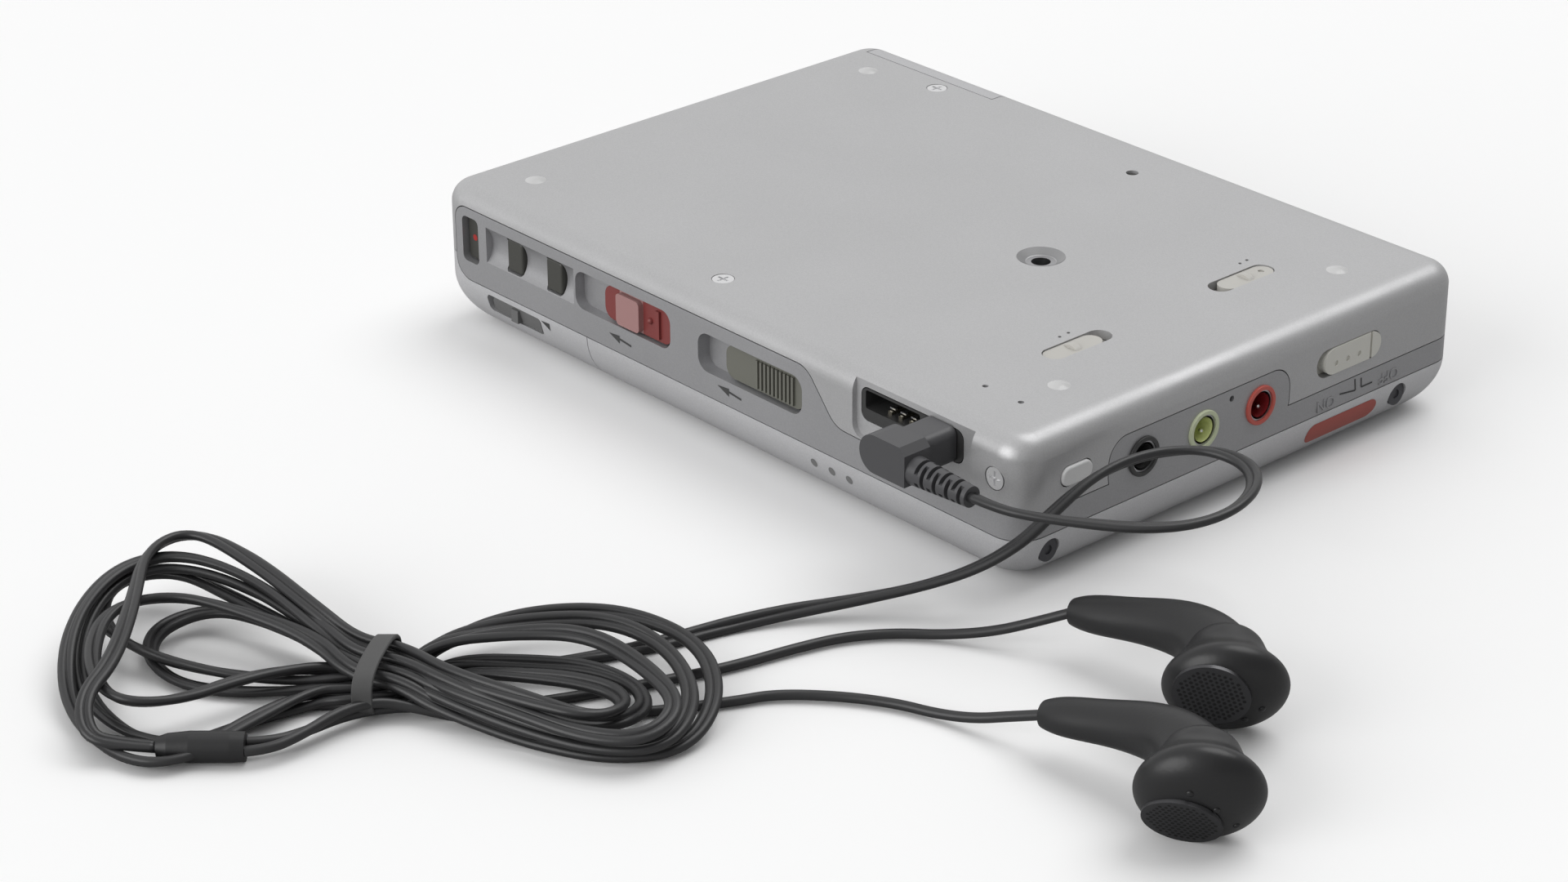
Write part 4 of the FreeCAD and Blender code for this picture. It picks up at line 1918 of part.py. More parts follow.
SPLIT_ACROSS = -12.1
SPLIT_HEIGHT = 1.9
SPLIT_LEFT = -22.5
SPLIT_RIGHT = -12.9
LAST_APEX = 3.4
LAST_RUN = 2.5


def by_loop(values, turn, layer):
    """Size of one loop from a base, a share of its place in the layer and a share of the layer."""
    base, per_turn, per_layer = values
    return base + per_turn * turn + per_layer * layer


def hank_stations():
    """Places and headings of the flex round the hank, loop after loop."""
    stations = []

    def station(place, heading):
        stations.append((Vector(*place), Vector(*heading).normalize()))

    def slant(start, end, height):
        """Middle of a run that fans out from the waist, or comes back to it."""
        along = end[0] - start[0]
        across = end[1] - start[1]
        station((start[0] + along / 2, start[1] + across / 2, height), (along, across * SLANT, 0))

    station((HANK_START, STRAND_STEP * TURN_MIDDLE, WAIST_LOW), (-1, 0, 0))
    for loop in range(LOOPS):
        turn = abs(loop - TURN_MIDDLE)
        layer = int(loop > TURN_MIDDLE)
        column = STRAND_STEP * turn
        height = WAIST_LOW + LAYER_STEP * layer
        last = loop == LOOPS - 1
        reach = by_loop(LEFT_REACH, turn, layer)
        top = by_loop(LEFT_TOP, turn, layer)
        bottom = -SPLIT_ACROSS if last else by_loop(LEFT_BOTTOM, turn, layer)
        low = LEFT_LOW + LEFT_LAYER * layer
        crest = low + layer * (LEFT_RISE[0] + LEFT_RISE[1] * turn)
        apex = top - APEX_SHARE * (top + bottom)
        if loop:
            station((WAIST_HALF, column, height), (-1, 0, 0))
        station((-WAIST_HALF, column, height), (-1, 0, 0))
        slant((-WAIST_HALF, column), (-TOP_SHARE * reach, top), (height + crest) / 2)
        station((-TOP_SHARE * reach, top, crest), (-1, 0, 0))
        if last:
            station((-reach, apex, LAST_APEX), (0, -1, 0))
            station((SPLIT_LEFT - LAST_RUN, -bottom, SPLIT_HEIGHT), (1, 0, 0))
            station((SPLIT_LEFT, -bottom, SPLIT_HEIGHT), (1, 0, 0))
            break
        station((-reach, apex, low + layer * APEX_RISE * turn), (0, -1, 0))
        station((-BOTTOM_SHARE * reach, -bottom, low), (1, 0, 0))
        station((-WAIST_HALF, -column, height), (1, 0, 0))
        station((WAIST_HALF, -column, height), (1, 0, 0))
        end = RIGHT_REACH[loop]
        wide = RIGHT_SHARE * end
        slant((WAIST_HALF, -column), (wide, -RIGHT_BOTTOM[loop]), RIGHT_PASS[layer])
        station((wide, -RIGHT_BOTTOM[loop], RIGHT_LOW[layer]), (1, 0, 0))
        station((end, (RIGHT_TOP[loop] - RIGHT_BOTTOM[loop]) / 2, RIGHT_LOW[layer]), (0, 1, 0))
        if loop == CLIMB_LOOP:
            for place, heading in CLIMB_STATIONS:
                station(place, heading)
            continue
        following = STRAND_STEP * abs(loop + 1 - TURN_MIDDLE)
        station((wide, RIGHT_TOP[loop], RIGHT_LOW[layer]), (-1, 0, 0))
        slant((wide, RIGHT_TOP[loop]), (WAIST_HALF, following), RIGHT_RUN[layer])
    return stations


def arc_past(start, corner, end):
    """Arc that leaves one point towards a corner and reaches the other from it."""
    toward = corner - start
    away = end - corner
    turn = toward.getAngle(away)
    bend = toward.Length / math.tan(turn / 2)
    inward = away.normalize() - toward.normalize()
    inward.normalize()
    middle = corner + inward * (bend / math.cos(turn / 2) - bend)
    return Part.Arc(start, middle, end).toShape(), bend


def wound_path(stations):
    """Wire of pairs of tangent arcs from station to station, and its least radius."""
    edges = []
    bends = []
    for (start, leaving), (end, arriving) in zip(stations, stations[1:]):
        chord = end - start
        if chord.getAngle(leaving) < NO_TURN and chord.getAngle(arriving) < NO_TURN:
            edges.append(Part.LineSegment(start, end).toShape())
            continue
        together = leaving + arriving
        apart = 2 * (1 - leaving.dot(arriving))
        if apart < NO_TURN:
            reach = chord.dot(chord) / (4 * chord.dot(leaving))
        else:
            forward = chord.dot(together)
            reach = (math.sqrt(forward ** 2 + apart * chord.dot(chord)) - forward) / apart
        first_corner = start + leaving * reach
        second_corner = end - arriving * reach
        halfway = (first_corner + second_corner) * 0.5
        for edge, bend in (arc_past(start, first_corner, halfway), arc_past(halfway, second_corner, end)):
            edges.append(edge)
            bends.append(bend)
    return Part.Wire(edges), min(bends)


def least_gap(path, radius):
    """Least gap between strands of a wound tube, measured on points along it."""
    points = path.discretize(Distance=GAP_STEP)
    skip = int(GAP_SKIP / GAP_STEP)
    return min(
        point.distanceToPoint(other) for index, point in enumerate(points) for other in points[index + skip:]
    ) - 2 * radius


NO_TURN = 1e-6
GAP_STEP = 0.75
GAP_SKIP = 8.0
hank_path, tightest = wound_path(hank_stations())
print("hank bends from", round(tightest, 2), "mm, least gap", round(least_gap(hank_path, PAIR_RADIUS), 2), "mm")
hank = cord_tube("lead_hank", hank_path, PAIR_RADIUS)
node("lead_hank", turned("lead_hank_laid", hank, hank_lie))

# Tie: a flat band round the waist
TIE_WIDTH = 3.0
TIE_THICKNESS = 0.5
TIE_NEAR = -10.4
TIE_FAR = 8.7
TIE_FLOOR = 0.55
TIE_ROOF = 6.15
TIE_CORNER = 1.2


def tie_block(name, length, grow):
    """Bar with rounded corners along the hank, through or round the waist."""
    return padded_round(
        name, "YZ_Plane", str(-length / 2), (str((TIE_NEAR + TIE_FAR) / 2), str((TIE_FLOOR + TIE_ROOF) / 2)),
        str(TIE_FAR - TIE_NEAR + 2 * grow), str(TIE_ROOF - TIE_FLOOR + 2 * grow), str(TIE_CORNER + grow), str(length),
    )


tie_ring = cut("tie_ring", tie_block("tie_outer", TIE_WIDTH, TIE_THICKNESS), tie_block("tie_inner", 2 * TIE_WIDTH, 0))
node("tie_band", turned("tie_band_laid", tie_ring, hank_lie))

# Splitter where the flat pair parts into two singles
SPLIT_LENGTH = SPLIT_RIGHT - SPLIT_LEFT
SPLIT_RADIUS = 1.75
SPLIT_PROFILE = [
    (0, 0), (1.1, 0), (1.5, 1.2), (SPLIT_RADIUS, 3.6), (SPLIT_RADIUS, SPLIT_LENGTH - 1.6), (1.65, SPLIT_LENGTH),
    (0, SPLIT_LENGTH),
]
splitter = revolved("cord_split_turned", SPLIT_PROFILE, ("0", "0", "0"), "Z")
split_lie = hank_lie.multiply(Placement(
    Vector(SPLIT_LEFT, SPLIT_ACROSS, SPLIT_HEIGHT), Rotation(Vector(0, 1, 0), 90),
))
node("cord_split", turned("cord_split_laid", splitter, split_lie))

doc.recompute()
faults = [item.Name for item in doc.Objects if "Invalid" in item.State or "Error" in item.State]
for label, item in NODES:
    if item.Shape.isNull() or not item.Shape.isValid() or not item.Shape.Solids:
        faults.append(label)
if faults:
    raise RuntimeError(f"these did not build: {faults}")
for label, item in NODES:
    item.Shape.exportStep(os.path.join("parts", label + ".step"))
print(len(NODES), "pieces written")
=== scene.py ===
import logging
import math
from dataclasses import dataclass, field
from functools import cache

import bmesh
import bpy
from mathutils import Matrix, Vector


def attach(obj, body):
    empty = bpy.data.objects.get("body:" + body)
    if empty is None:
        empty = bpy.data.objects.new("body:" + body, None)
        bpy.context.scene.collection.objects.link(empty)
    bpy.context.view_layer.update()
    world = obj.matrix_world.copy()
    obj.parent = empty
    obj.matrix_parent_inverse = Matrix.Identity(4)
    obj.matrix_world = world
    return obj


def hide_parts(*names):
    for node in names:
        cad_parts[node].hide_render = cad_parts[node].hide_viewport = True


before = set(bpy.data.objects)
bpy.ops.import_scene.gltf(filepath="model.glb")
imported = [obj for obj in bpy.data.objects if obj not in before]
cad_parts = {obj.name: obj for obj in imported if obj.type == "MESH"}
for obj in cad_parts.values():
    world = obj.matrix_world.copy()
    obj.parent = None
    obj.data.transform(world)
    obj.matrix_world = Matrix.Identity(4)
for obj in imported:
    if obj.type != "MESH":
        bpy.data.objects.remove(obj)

log = logging.getLogger("recorder")
MM = 0.001
SCRATCH_DEPTH = -0.000003
Colour = tuple[float, float, float]
Point = tuple[float, float, float]
Spot = tuple[float, float]
Faces = list[tuple[int, ...]]
Feeds = dict[str | int, object]
Sockets = bpy.types.bpy_prop_collection


def srgb(red: float, green: float, blue: float) -> Colour:
    """Turn an 8-bit screen colour into the linear colour that a shader takes.

    Args:
        red: Red, 0 to 255.
        green: Green, 0 to 255.
        blue: Blue, 0 to 255.

    Returns:
        The linear red, green and blue.
    """
    parts = []
    for value in (red, green, blue):
        share = value / 255
        parts.append(share / 12.92 if share <= 0.04045 else ((share + 0.055) / 1.055) ** 2.4)
    return (parts[0], parts[1], parts[2])


def feed(node: bpy.types.Node, feeds: Feeds) -> None:
    """Fill some inputs of a node.

    Args:
        node: The node.
        feeds: For each input, the socket that feeds it or its plain value.
    """
    for label, value in feeds.items():
        if isinstance(value, bpy.types.NodeSocket):
            node.id_data.links.new(value, node.inputs[label])
        else:
            node.inputs[label].default_value = value


def add_node(
    tree: bpy.types.NodeTree, kind: str, feeds: Feeds | None = None, **options: object,
) -> bpy.types.Node:
    """Add one node to a tree.

    Args:
        tree: The node tree.
        kind: Blender's name for the type of node.
        feeds: What fills its inputs.
        options: Its other settings, made before the inputs are filled.

    Returns:
        The node.
    """
    node = tree.nodes.new(kind)
    for option, value in options.items():
        setattr(node, option, value)
    feed(node, feeds or {})
    return node


def add_math(tree: bpy.types.NodeTree, operation: str, *feeds: object) -> bpy.types.NodeSocket:
    """Add one math node and give its result."""
    return add_node(tree, "ShaderNodeMath", dict(enumerate(feeds)), operation=operation).outputs[0]


def add_place(tree: bpy.types.NodeTree) -> bpy.types.NodeSocket:
    """Add the socket that reads a point's place on its piece."""
    return add_node(tree, "ShaderNodeTexCoord").outputs["Object"]


def put(name: str, data: bpy.types.ID) -> bpy.types.Object:
    """Put a new object into the scene.

    Args:
        name: Name of the object.
        data: Its mesh, curve, camera or lamp.

    Returns:
        The object.
    """
    made = bpy.data.objects.new(name, data)
    bpy.context.scene.collection.objects.link(made)
    return made


def settle(piece: bpy.types.Object, body: str = "recorder") -> None:
    """Say which body a piece rides on."""
    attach(piece, body)


def circle(sides: int) -> list[Spot]:
    """Cosine and sine of evenly spaced turns, once round."""
    turns = [2 * math.pi * number / sides for number in range(sides)]
    return [(math.cos(turn), math.sin(turn)) for turn in turns]


def ring_faces(rings: int, around: int, closed: bool = False) -> Faces:
    """List the faces between neighbouring rings of points.

    Args:
        rings: How many rings there are, one after another.
        around: How many points each has.
        closed: Whether the last ring is also joined to the first.

    Returns:
        The corners of each face.
    """
    faces = []
    for ring in range(rings if closed else rings - 1):
        here, there = ring * around, (ring + 1) % rings * around
        for number in range(around):
            following = (number + 1) % around
            faces.append((here + number, here + following, there + following, there + number))
    return faces


class Groups:
    """The shader node groups that several finishes share, each built once.

    Their sockets are numbers, or colours where they are named Colour.
    """

    @staticmethod
    def _open(
        name: str, inputs: dict[str, object], outputs: tuple[str, ...],
    ) -> tuple[bpy.types.NodeTree, Sockets]:
        """Start an empty group with named sockets.

        Args:
            name: Name of the group.
            inputs: Default of each input.
            outputs: Name of each output.

        Returns:
            The new node tree, and its inputs as sockets to link from.
        """
        tree = bpy.data.node_groups.new(name, "ShaderNodeTree")
        for way, labels in (("INPUT", inputs), ("OUTPUT", outputs)):
            for label in labels:
                kind = "NodeSocketColor" if label == "Colour" else "NodeSocketFloat"
                socket = tree.interface.new_socket(label, in_out=way, socket_type=kind)
                if way == "INPUT":
                    socket.default_value = inputs[label]
        return tree, add_node(tree, "NodeGroupInput").outputs

    @staticmethod
    @cache
    def flake() -> bpy.types.NodeTree:
        """Build fine metal flake under lacquer: a colour that sparkles, a small height and a roughness.

        Returns:
            The group, with Colour, Height and Roughness outputs.
        """
        tree, given = Groups._open(
            "metal_flake",
            {"Colour": (0.5, 0.5, 0.5, 1), "Scale": 5200.0, "Contrast": 0.16, "Roughness": 0.4},
            ("Colour", "Height", "Roughness"),
        )
        place = add_place(tree)
        grains = add_node(tree, "ShaderNodeTexVoronoi", {"Vector": place, "Scale": given["Scale"]})
        cloud = add_node(tree, "ShaderNodeTexNoise", {"Vector": place, "Scale": 55, "Detail": 4})
        split = add_node(tree, "ShaderNodeSeparateColor", {"Color": grains.outputs["Color"]}).outputs
        lighten = add_node(tree, "ShaderNodeMapRange", {"Value": split["Red"], "To Min": -1})
        patch = add_node(tree, "ShaderNodeMapRange", {
            "Value": cloud.outputs["Fac"], "To Min": 0.965, "To Max": 1.035,
        })
        scaled = add_math(tree, "MULTIPLY", lighten.outputs["Result"], given["Contrast"])
        total = add_math(tree, "ADD", scaled, patch.outputs["Result"])
        tint = add_node(tree, "ShaderNodeVectorMath", {0: given["Colour"], "Scale": total}, operation="SCALE")
        rough = add_math(tree, "MULTIPLY_ADD", split["Blue"], 0.10, given["Roughness"])
        add_node(tree, "NodeGroupOutput", {
            "Colour": tint.outputs["Vector"], "Height": split["Green"], "Roughness": rough,
        })
        return tree

    @staticmethod
    @cache
    def handling() -> bpy.types.NodeTree:
        """Build the marks of use: a cloudy change of gloss and a few hair scratches.

        Returns:
            The group, with Roughness and Scratches outputs.
        """
        tree, given = Groups._open(
            "handling_marks", {"Cloud Scale": 70.0, "Scratch Scale": 160.0, "Amount": 0.5, "Roughness": 0.4},
            ("Roughness", "Scratches"),
        )
        place = add_place(tree)
        cloud = add_node(tree, "ShaderNodeTexNoise", {
            "Vector": place, "Scale": given["Cloud Scale"], "Detail": 5,
        })
        change = add_node(tree, "ShaderNodeMapRange", {
            "Value": cloud.outputs["Fac"], "From Min": 0.3, "From Max": 0.7, "To Min": -0.07, "To Max": 0.07,
        })
        stretched = add_node(tree, "ShaderNodeMapping", {
            "Vector": place, "Scale": (1, 0.09, 0.3), "Rotation": (0.3, 0.2, 0.7),
        })
        cells = add_node(tree, "ShaderNodeTexVoronoi", {
            "Vector": stretched.outputs["Vector"], "Scale": given["Scratch Scale"],
        }, feature="DISTANCE_TO_EDGE")
        line = add_node(tree, "ShaderNodeMapRange", {
            "Value": cells.outputs["Distance"], "From Max": 0.006, "To Min": 1, "To Max": 0,
        })
        add_node(tree, "NodeGroupOutput", {
            "Roughness": add_math(tree, "ADD", given["Roughness"], change.outputs["Result"]),
            "Scratches": add_math(tree, "MULTIPLY", line.outputs["Result"], given["Amount"]),
        })
        return tree

    @staticmethod
    @cache
    def moulding() -> bpy.types.NodeTree:
        """Build the fine stipple of a moulded part, with a faint cloud in its colour.

        Returns:
            The group, with Colour and Height outputs.
        """
        tree, given = Groups._open(
            "moulded_stipple", {"Colour": (0.1, 0.1, 0.1, 1), "Scale": 2600.0, "Cloud": 0.06},
            ("Colour", "Height"),
        )
        place = add_place(tree)
        grain = add_node(tree, "ShaderNodeTexNoise", {"Vector": place, "Scale": given["Scale"], "Detail": 2})
        cloud = add_node(tree, "ShaderNodeTexNoise", {"Vector": place, "Scale": 90, "Detail": 4})
        centred = add_math(tree, "SUBTRACT", cloud.outputs["Fac"], 0.5)
        weight = add_math(tree, "MULTIPLY_ADD", centred, given["Cloud"], 1)
        tint = add_node(tree, "ShaderNodeVectorMath", {
            0: given["Colour"], "Scale": weight,
        }, operation="SCALE")
        add_node(tree, "NodeGroupOutput", {"Colour": tint.outputs["Vector"], "Height": grain.outputs["Fac"]})
        return tree


@dataclass(frozen=True)
class Finish:
    """A surface finish: a plain colour here, and more in the kinds made from it."""

    name: str
    colour: Colour
    roughness: float = 0.5

    def material(self) -> bpy.types.Material:
        """Give the material, built at its first use.

        Returns:
            The material.
        """
        material = bpy.data.materials.get(self.name)
        if material is None:
            material = bpy.data.materials.new(self.name)
            material.use_nodes = True
            shader = material.node_tree.nodes["Principled BSDF"]
            feed(shader, {"Base Color": (*self.colour, 1), "Roughness": self.roughness})
            self.dress(shader)
        return material

    def dress(self, shader: bpy.types.ShaderNode) -> None:
        """Add to the shader what the kind of finish has beyond its plain colour."""

    def _wear(self, shader: bpy.types.ShaderNode, amount: float, roughness: object = None) -> bpy.types.Node:
        """Add the marks of use and let them vary the shader's roughness.

        Args:
            shader: The shader.
            amount: Strength of the scratches.
            roughness: A socket to vary in place of the finish's own roughness.

        Returns:
            The group node of the marks.
        """
        feeds = {"Amount": amount, "Roughness": self.roughness if roughness is None else roughness}
        marks = add_node(shader.id_data, "ShaderNodeGroup", feeds, node_tree=Groups.handling())
        feed(shader, {"Roughness": marks.outputs["Roughness"]})
        return marks

    @staticmethod
    def _bump(shader: bpy.types.ShaderNode, *heights: tuple[bpy.types.NodeSocket, float]) -> None:
        """Chain bump nodes into the shader's normal.

        Args:
            shader: Shader that takes the normal.
            heights: Height socket and depth in metres of each layer.
        """
        feeds = {}
        for socket, depth in heights:
            layer = {"Distance": depth, "Strength": 1, "Height": socket, **feeds}
            feeds = {"Normal": add_node(shader.id_data, "ShaderNodeBump", layer).outputs["Normal"]}
        feed(shader, feeds)


@dataclass(frozen=True)
class FlakePaint(Finish):
    """Silver lacquer with fine metal flake, as on the case."""

    flake_scale: float = 9000
    contrast: float = 0.16
    metallic: float = 0.45
    depth: float = 0.000001

    def dress(self, shader: bpy.types.ShaderNode) -> None:
        """Add the flake, the marks of use and a thin clear coat.

        Args:
            shader: The shader.
        """
        flake = add_node(shader.id_data, "ShaderNodeGroup", {
            "Colour": (*self.colour, 1), "Scale": self.flake_scale, "Contrast": self.contrast,
            "Roughness": self.roughness - 0.05,
        }, node_tree=Groups.flake())
        marks = self._wear(shader, 0.25, flake.outputs["Roughness"])
        feed(shader, {
            "Base Color": flake.outputs["Colour"], "Metallic": self.metallic, "Coat Weight": 0.15,
            "Coat Roughness": 0.3,
        })
        self._bump(shader, (flake.outputs["Height"], self.depth), (marks.outputs["Scratches"], SCRATCH_DEPTH))


@dataclass(frozen=True)
class Moulded(Finish):
    """Moulded plastic or rubber with a fine stipple."""

    stipple_scale: float = 2600
    depth: float = 0.00001
    cloud: float = 0.08

    def dress(self, shader: bpy.types.ShaderNode) -> None:
        """Add the stipple and the marks of use.

        Args:
            shader: The shader.
        """
        skin = add_node(shader.id_data, "ShaderNodeGroup", {
            "Colour": (*self.colour, 1), "Scale": self.stipple_scale, "Cloud": self.cloud,
        }, node_tree=Groups.moulding())
        self._wear(shader, 0.2)
        feed(shader, {"Base Color": skin.outputs["Colour"]})
        self._bump(shader, (skin.outputs["Height"], self.depth))


@dataclass(frozen=True)
class Banded(Moulded):
    """Moulded plastic with one paler block between two places along X, in metres."""

    block: Colour = (0.5, 0.5, 0.5)
    start: float = 0.0
    end: float = 0.01

    def dress(self, shader: bpy.types.ShaderNode) -> None:
        """Add the stipple, then mix the block's colour in between its two ends.

        Args:
            shader: The shader.
        """
        super().dress(shader)
        tree = shader.id_data
        skin = shader.inputs["Base Color"].links[0].from_socket
        axes = add_node(tree, "ShaderNodeSeparateXYZ", {"Vector": add_place(tree)})
        middle, half = (self.start + self.end) / 2, (self.end - self.start) / 2
        within = add_math(tree, "COMPARE", axes.outputs["X"], middle, half)
        mix = add_node(
            tree, "ShaderNodeMix", {"Factor": within, "A": skin, "B": (*self.block, 1)}, data_type="RGBA",
        )
        feed(shader, {"Base Color": mix.outputs["Result"]})


@dataclass(frozen=True)
class Metal(Finish):
    """Bare or plated metal, brushed along one direction or plain."""

    brushed: Point = (1.0, 1.0, 1.0)
    depth: float = 0.000004

    def dress(self, shader: bpy.types.ShaderNode) -> None:
        """Add the brushing and the marks of use.

        Args:
            shader: The shader.
        """
        tree = shader.id_data
        stretched = add_node(tree, "ShaderNodeMapping", {"Vector": add_place(tree), "Scale": self.brushed})
        lines = add_node(tree, "ShaderNodeTexNoise", {"Vector": stretched.outputs["Vector"], "Scale": 3200})
        marks = self._wear(shader, 0.5)
        feed(shader, {"Metallic": 1})
        self._bump(shader, (lines.outputs["Fac"], self.depth), (marks.outputs["Scratches"], SCRATCH_DEPTH))


@dataclass(frozen=True)
class Window(Finish):
    """Clear tinted window."""

    def dress(self, shader: bpy.types.ShaderNode) -> None:
        """Let light through, and add the marks of use."""
        self._wear(shader, 0.4)
        feed(shader, {"Transmission Weight": 0.85, "IOR": 1.49})


COVER = FlakePaint("cover_silver", srgb(186, 186, 187), 0.42, contrast=0.05)
LID = FlakePaint("lid_silver", srgb(214, 214, 216), 0.40, contrast=0.05)
PANEL = FlakePaint("panel_grey", srgb(166, 166, 168), 0.42, contrast=0.05)
DOOR = FlakePaint("door_silver", srgb(190, 190, 192), 0.42, contrast=0.05)
BUTTON = Moulded("button_olive", srgb(66, 66, 62), 0.42)
RECORD = Banded("record_red", srgb(130, 60, 58), 0.42, block=srgb(166, 126, 124), start=-0.0177, end=-0.0131)
OPENER = Moulded("opener_olive", srgb(110, 110, 102), 0.45)
HOLDER = Moulded("hold_grey", srgb(108, 108, 108), 0.42)
BASS = Moulded("bass_silver", srgb(224, 224, 224), 0.32)
SLEEVE_GREEN = Moulded("sleeve_green", srgb(232, 240, 172), 0.45)
SLEEVE_RED = Moulded("sleeve_red", srgb(142, 34, 38), 0.45)
# Painted shade: near-black discs standing for the shaded insides of the grille holes.
HOLE_PAINTED_SHADE = Moulded("hole_painted_shade", srgb(14, 14, 15), 0.7)
KNOB = Moulded("knob_grey", srgb(212, 211, 206), 0.45)
IVORY = Moulded("knob_ivory", srgb(250, 247, 234), 0.4)
SOCKET = Moulded("socket_black", srgb(22, 22, 23), 0.35)
RING_GREEN = Moulded("ring_green", srgb(232, 238, 196), 0.35)
RING_RED = Moulded("ring_red", srgb(176, 44, 42), 0.4)
CORD_SKIN = Moulded("cord_sheath", srgb(48, 48, 49), 0.35, stipple_scale=1800, depth=0.000012, cloud=0.12)
TIE_SKIN = Moulded("tie_grey", srgb(76, 76, 76), 0.55, stipple_scale=1500, depth=0.00002)
PLUG_SKIN = Moulded("plug_grey", srgb(52, 52, 54), 0.5)
BUD_SKIN = Moulded("earphone_grey", srgb(33, 33, 34), 0.4)
GRILLE_SKIN = Metal("grille_dark", srgb(92, 92, 94), 0.4)
FOOT = Moulded("foot_clear", srgb(196, 196, 196), 0.25, depth=0.000002)
STEEL = Metal("sheet_steel", srgb(176, 176, 178), 0.35, brushed=(1, 0.05, 1))
BRIGHT = Metal("bright_plate", srgb(242, 242, 243), 0.28)
DARK_SCREW = Metal("dark_screw", srgb(72, 72, 76), 0.3)
GOLD = Metal("gold_plate", srgb(222, 180, 98), 0.2)
CELL = Moulded("cell_wrap", srgb(92, 94, 102), 0.4)
BLACK = Moulded("inner_black", srgb(34, 34, 35), 0.6)
BOARD = Moulded("board_green", srgb(40, 84, 56), 0.4)
DAMPER = Moulded("damper_rubber", srgb(58, 58, 60), 0.75)
GLASS = Window("window_smoke", srgb(176, 180, 178), 0.08)
PANEL_GLASS = Moulded("display_grey", srgb(150, 158, 146), 0.25, depth=0.000001)
LENS = Finish("lens_blue", srgb(40, 60, 110), 0.05)
CONTACT = Metal("contact_nickel", srgb(196, 190, 172), 0.25)
INK_DARK = Moulded("ink_dark", srgb(66, 66, 66), 0.6, depth=0.000002)
INK_MID = Moulded("ink_mid", srgb(120, 120, 120), 0.5, depth=0.000002)
# Painted shade: flat grey standing for the shade in the hollow dish round the stand's thread.
DISH_PAINTED_SHADE = Moulded("dish_painted_shade", srgb(138, 138, 139), 0.45)
INK_RED = Moulded("ink_red", srgb(168, 44, 40), 0.5, depth=0.000002)
BADGE = Moulded("badge_brick", srgb(178, 84, 74), 0.35, depth=0.000003)


@dataclass
class Studio:
    """Camera, table top, lamps and the light of the room.

    A lamp has a name, the direction to it, its light on a facing surface in watts a square metre, and how
    wide it looks in degrees.
    """

    place: Point = (0.32624, -0.31748, 0.21297)
    ahead: Point = (-0.66923, 0.59633, -0.44331)
    upward: Point = (-0.32772, 0.29856, 0.89636)
    lens: float = 87.6
    sensor: float = 36
    floor_size: float = 8.0
    floor_gap: float = 0.00002
    floor_seen: Colour = (0.955, 0.955, 0.955)
    floor_felt: Colour = (0.42, 0.42, 0.42)
    dark_side: Point = (0.94, 0.34, -0.05)
    room_dark: float = 0.26
    room_bright: float = 0.74
    lamps: tuple[tuple[str, Point, float, float], ...] = (
        ("top_light", (0.05, 0.55, 1.0), 1.05, 45), ("left_light", (-0.1, -1.0, 0.34), 1.32, 50),
    )

    def camera(self) -> None:
        """Stand the camera where the photograph was taken from."""
        data = bpy.data.cameras.new("view")
        data.lens = self.lens
        data.sensor_width = self.sensor
        data.clip_start = 0.01
        data.clip_end = 50
        ahead = Vector(self.ahead).normalized()
        right = ahead.cross(Vector(self.upward)).normalized()
        turn = Matrix((right, right.cross(ahead), -ahead)).transposed().to_4x4()
        camera = put("view", data)
        camera.matrix_world = Matrix.Translation(Vector(self.place)) @ turn
        bpy.context.scene.camera = camera

    def floor(self) -> None:
        """Lay the table top just under the object, white to the camera and greyer to the object."""
        mesh = bpy.data.meshes.new("table_top")
        half = self.floor_size / 2
        corners = [(-half, -half, 0), (half, -half, 0), (half, half, 0), (-half, half, 0)]
        mesh.from_pydata(corners, [], [(0, 1, 2, 3)])
        top = put("table_top", mesh)
        top.location.z = -self.floor_gap
        material = bpy.data.materials.new("table_white")
        material.use_nodes = True
        tree = material.node_tree
        rays = add_node(tree, "ShaderNodeLightPath").outputs["Is Camera Ray"]
        mix = add_node(tree, "ShaderNodeMix", {
            "Factor": rays, "A": (*self.floor_felt, 1), "B": (*self.floor_seen, 1),
        }, data_type="RGBA")
        feed(tree.nodes["Principled BSDF"], {
            "Roughness": 0.9, "Specular IOR Level": 0.0, "Base Color": mix.outputs["Result"],
        })
        mesh.materials.append(material)

    def shine(self) -> None:
        """Shine the soft far lamps."""
        for name, toward, power, angle in self.lamps:
            data = bpy.data.lights.new(name, "SUN")
            data.energy = power
            data.angle = math.radians(angle)
            put(name, data).rotation_euler = Vector(toward).to_track_quat("Z", "Y").to_euler()

    def world(self) -> None:
        """Light the scene from a room that is bright all round but on one side."""
        world = bpy.data.worlds.new("studio")
        bpy.context.scene.world = world
        world.use_nodes = True
        tree = world.node_tree
        place = add_node(tree, "ShaderNodeTexCoord").outputs["Generated"]
        dark = Vector(self.dark_side).normalized()
        facing = add_node(tree, "ShaderNodeVectorMath", {0: place, 1: dark}, operation="DOT_PRODUCT")
        fade = add_node(tree, "ShaderNodeMapRange", {
            "Value": facing.outputs["Value"], "From Min": -0.35, "From Max": 0.85,
            "To Min": self.room_bright, "To Max": self.room_dark,
        }, interpolation_type="SMOOTHSTEP")
        feed(tree.nodes["Background"], {"Color": (1, 1, 1, 1), "Strength": fade.outputs["Result"]})

    def build(self) -> None:
        """Set up the whole studio."""
        self.camera()
        self.floor()
        self.world()
        self.shine()
        bpy.context.scene.view_settings.view_transform = "Standard"
        log.info("studio ready")


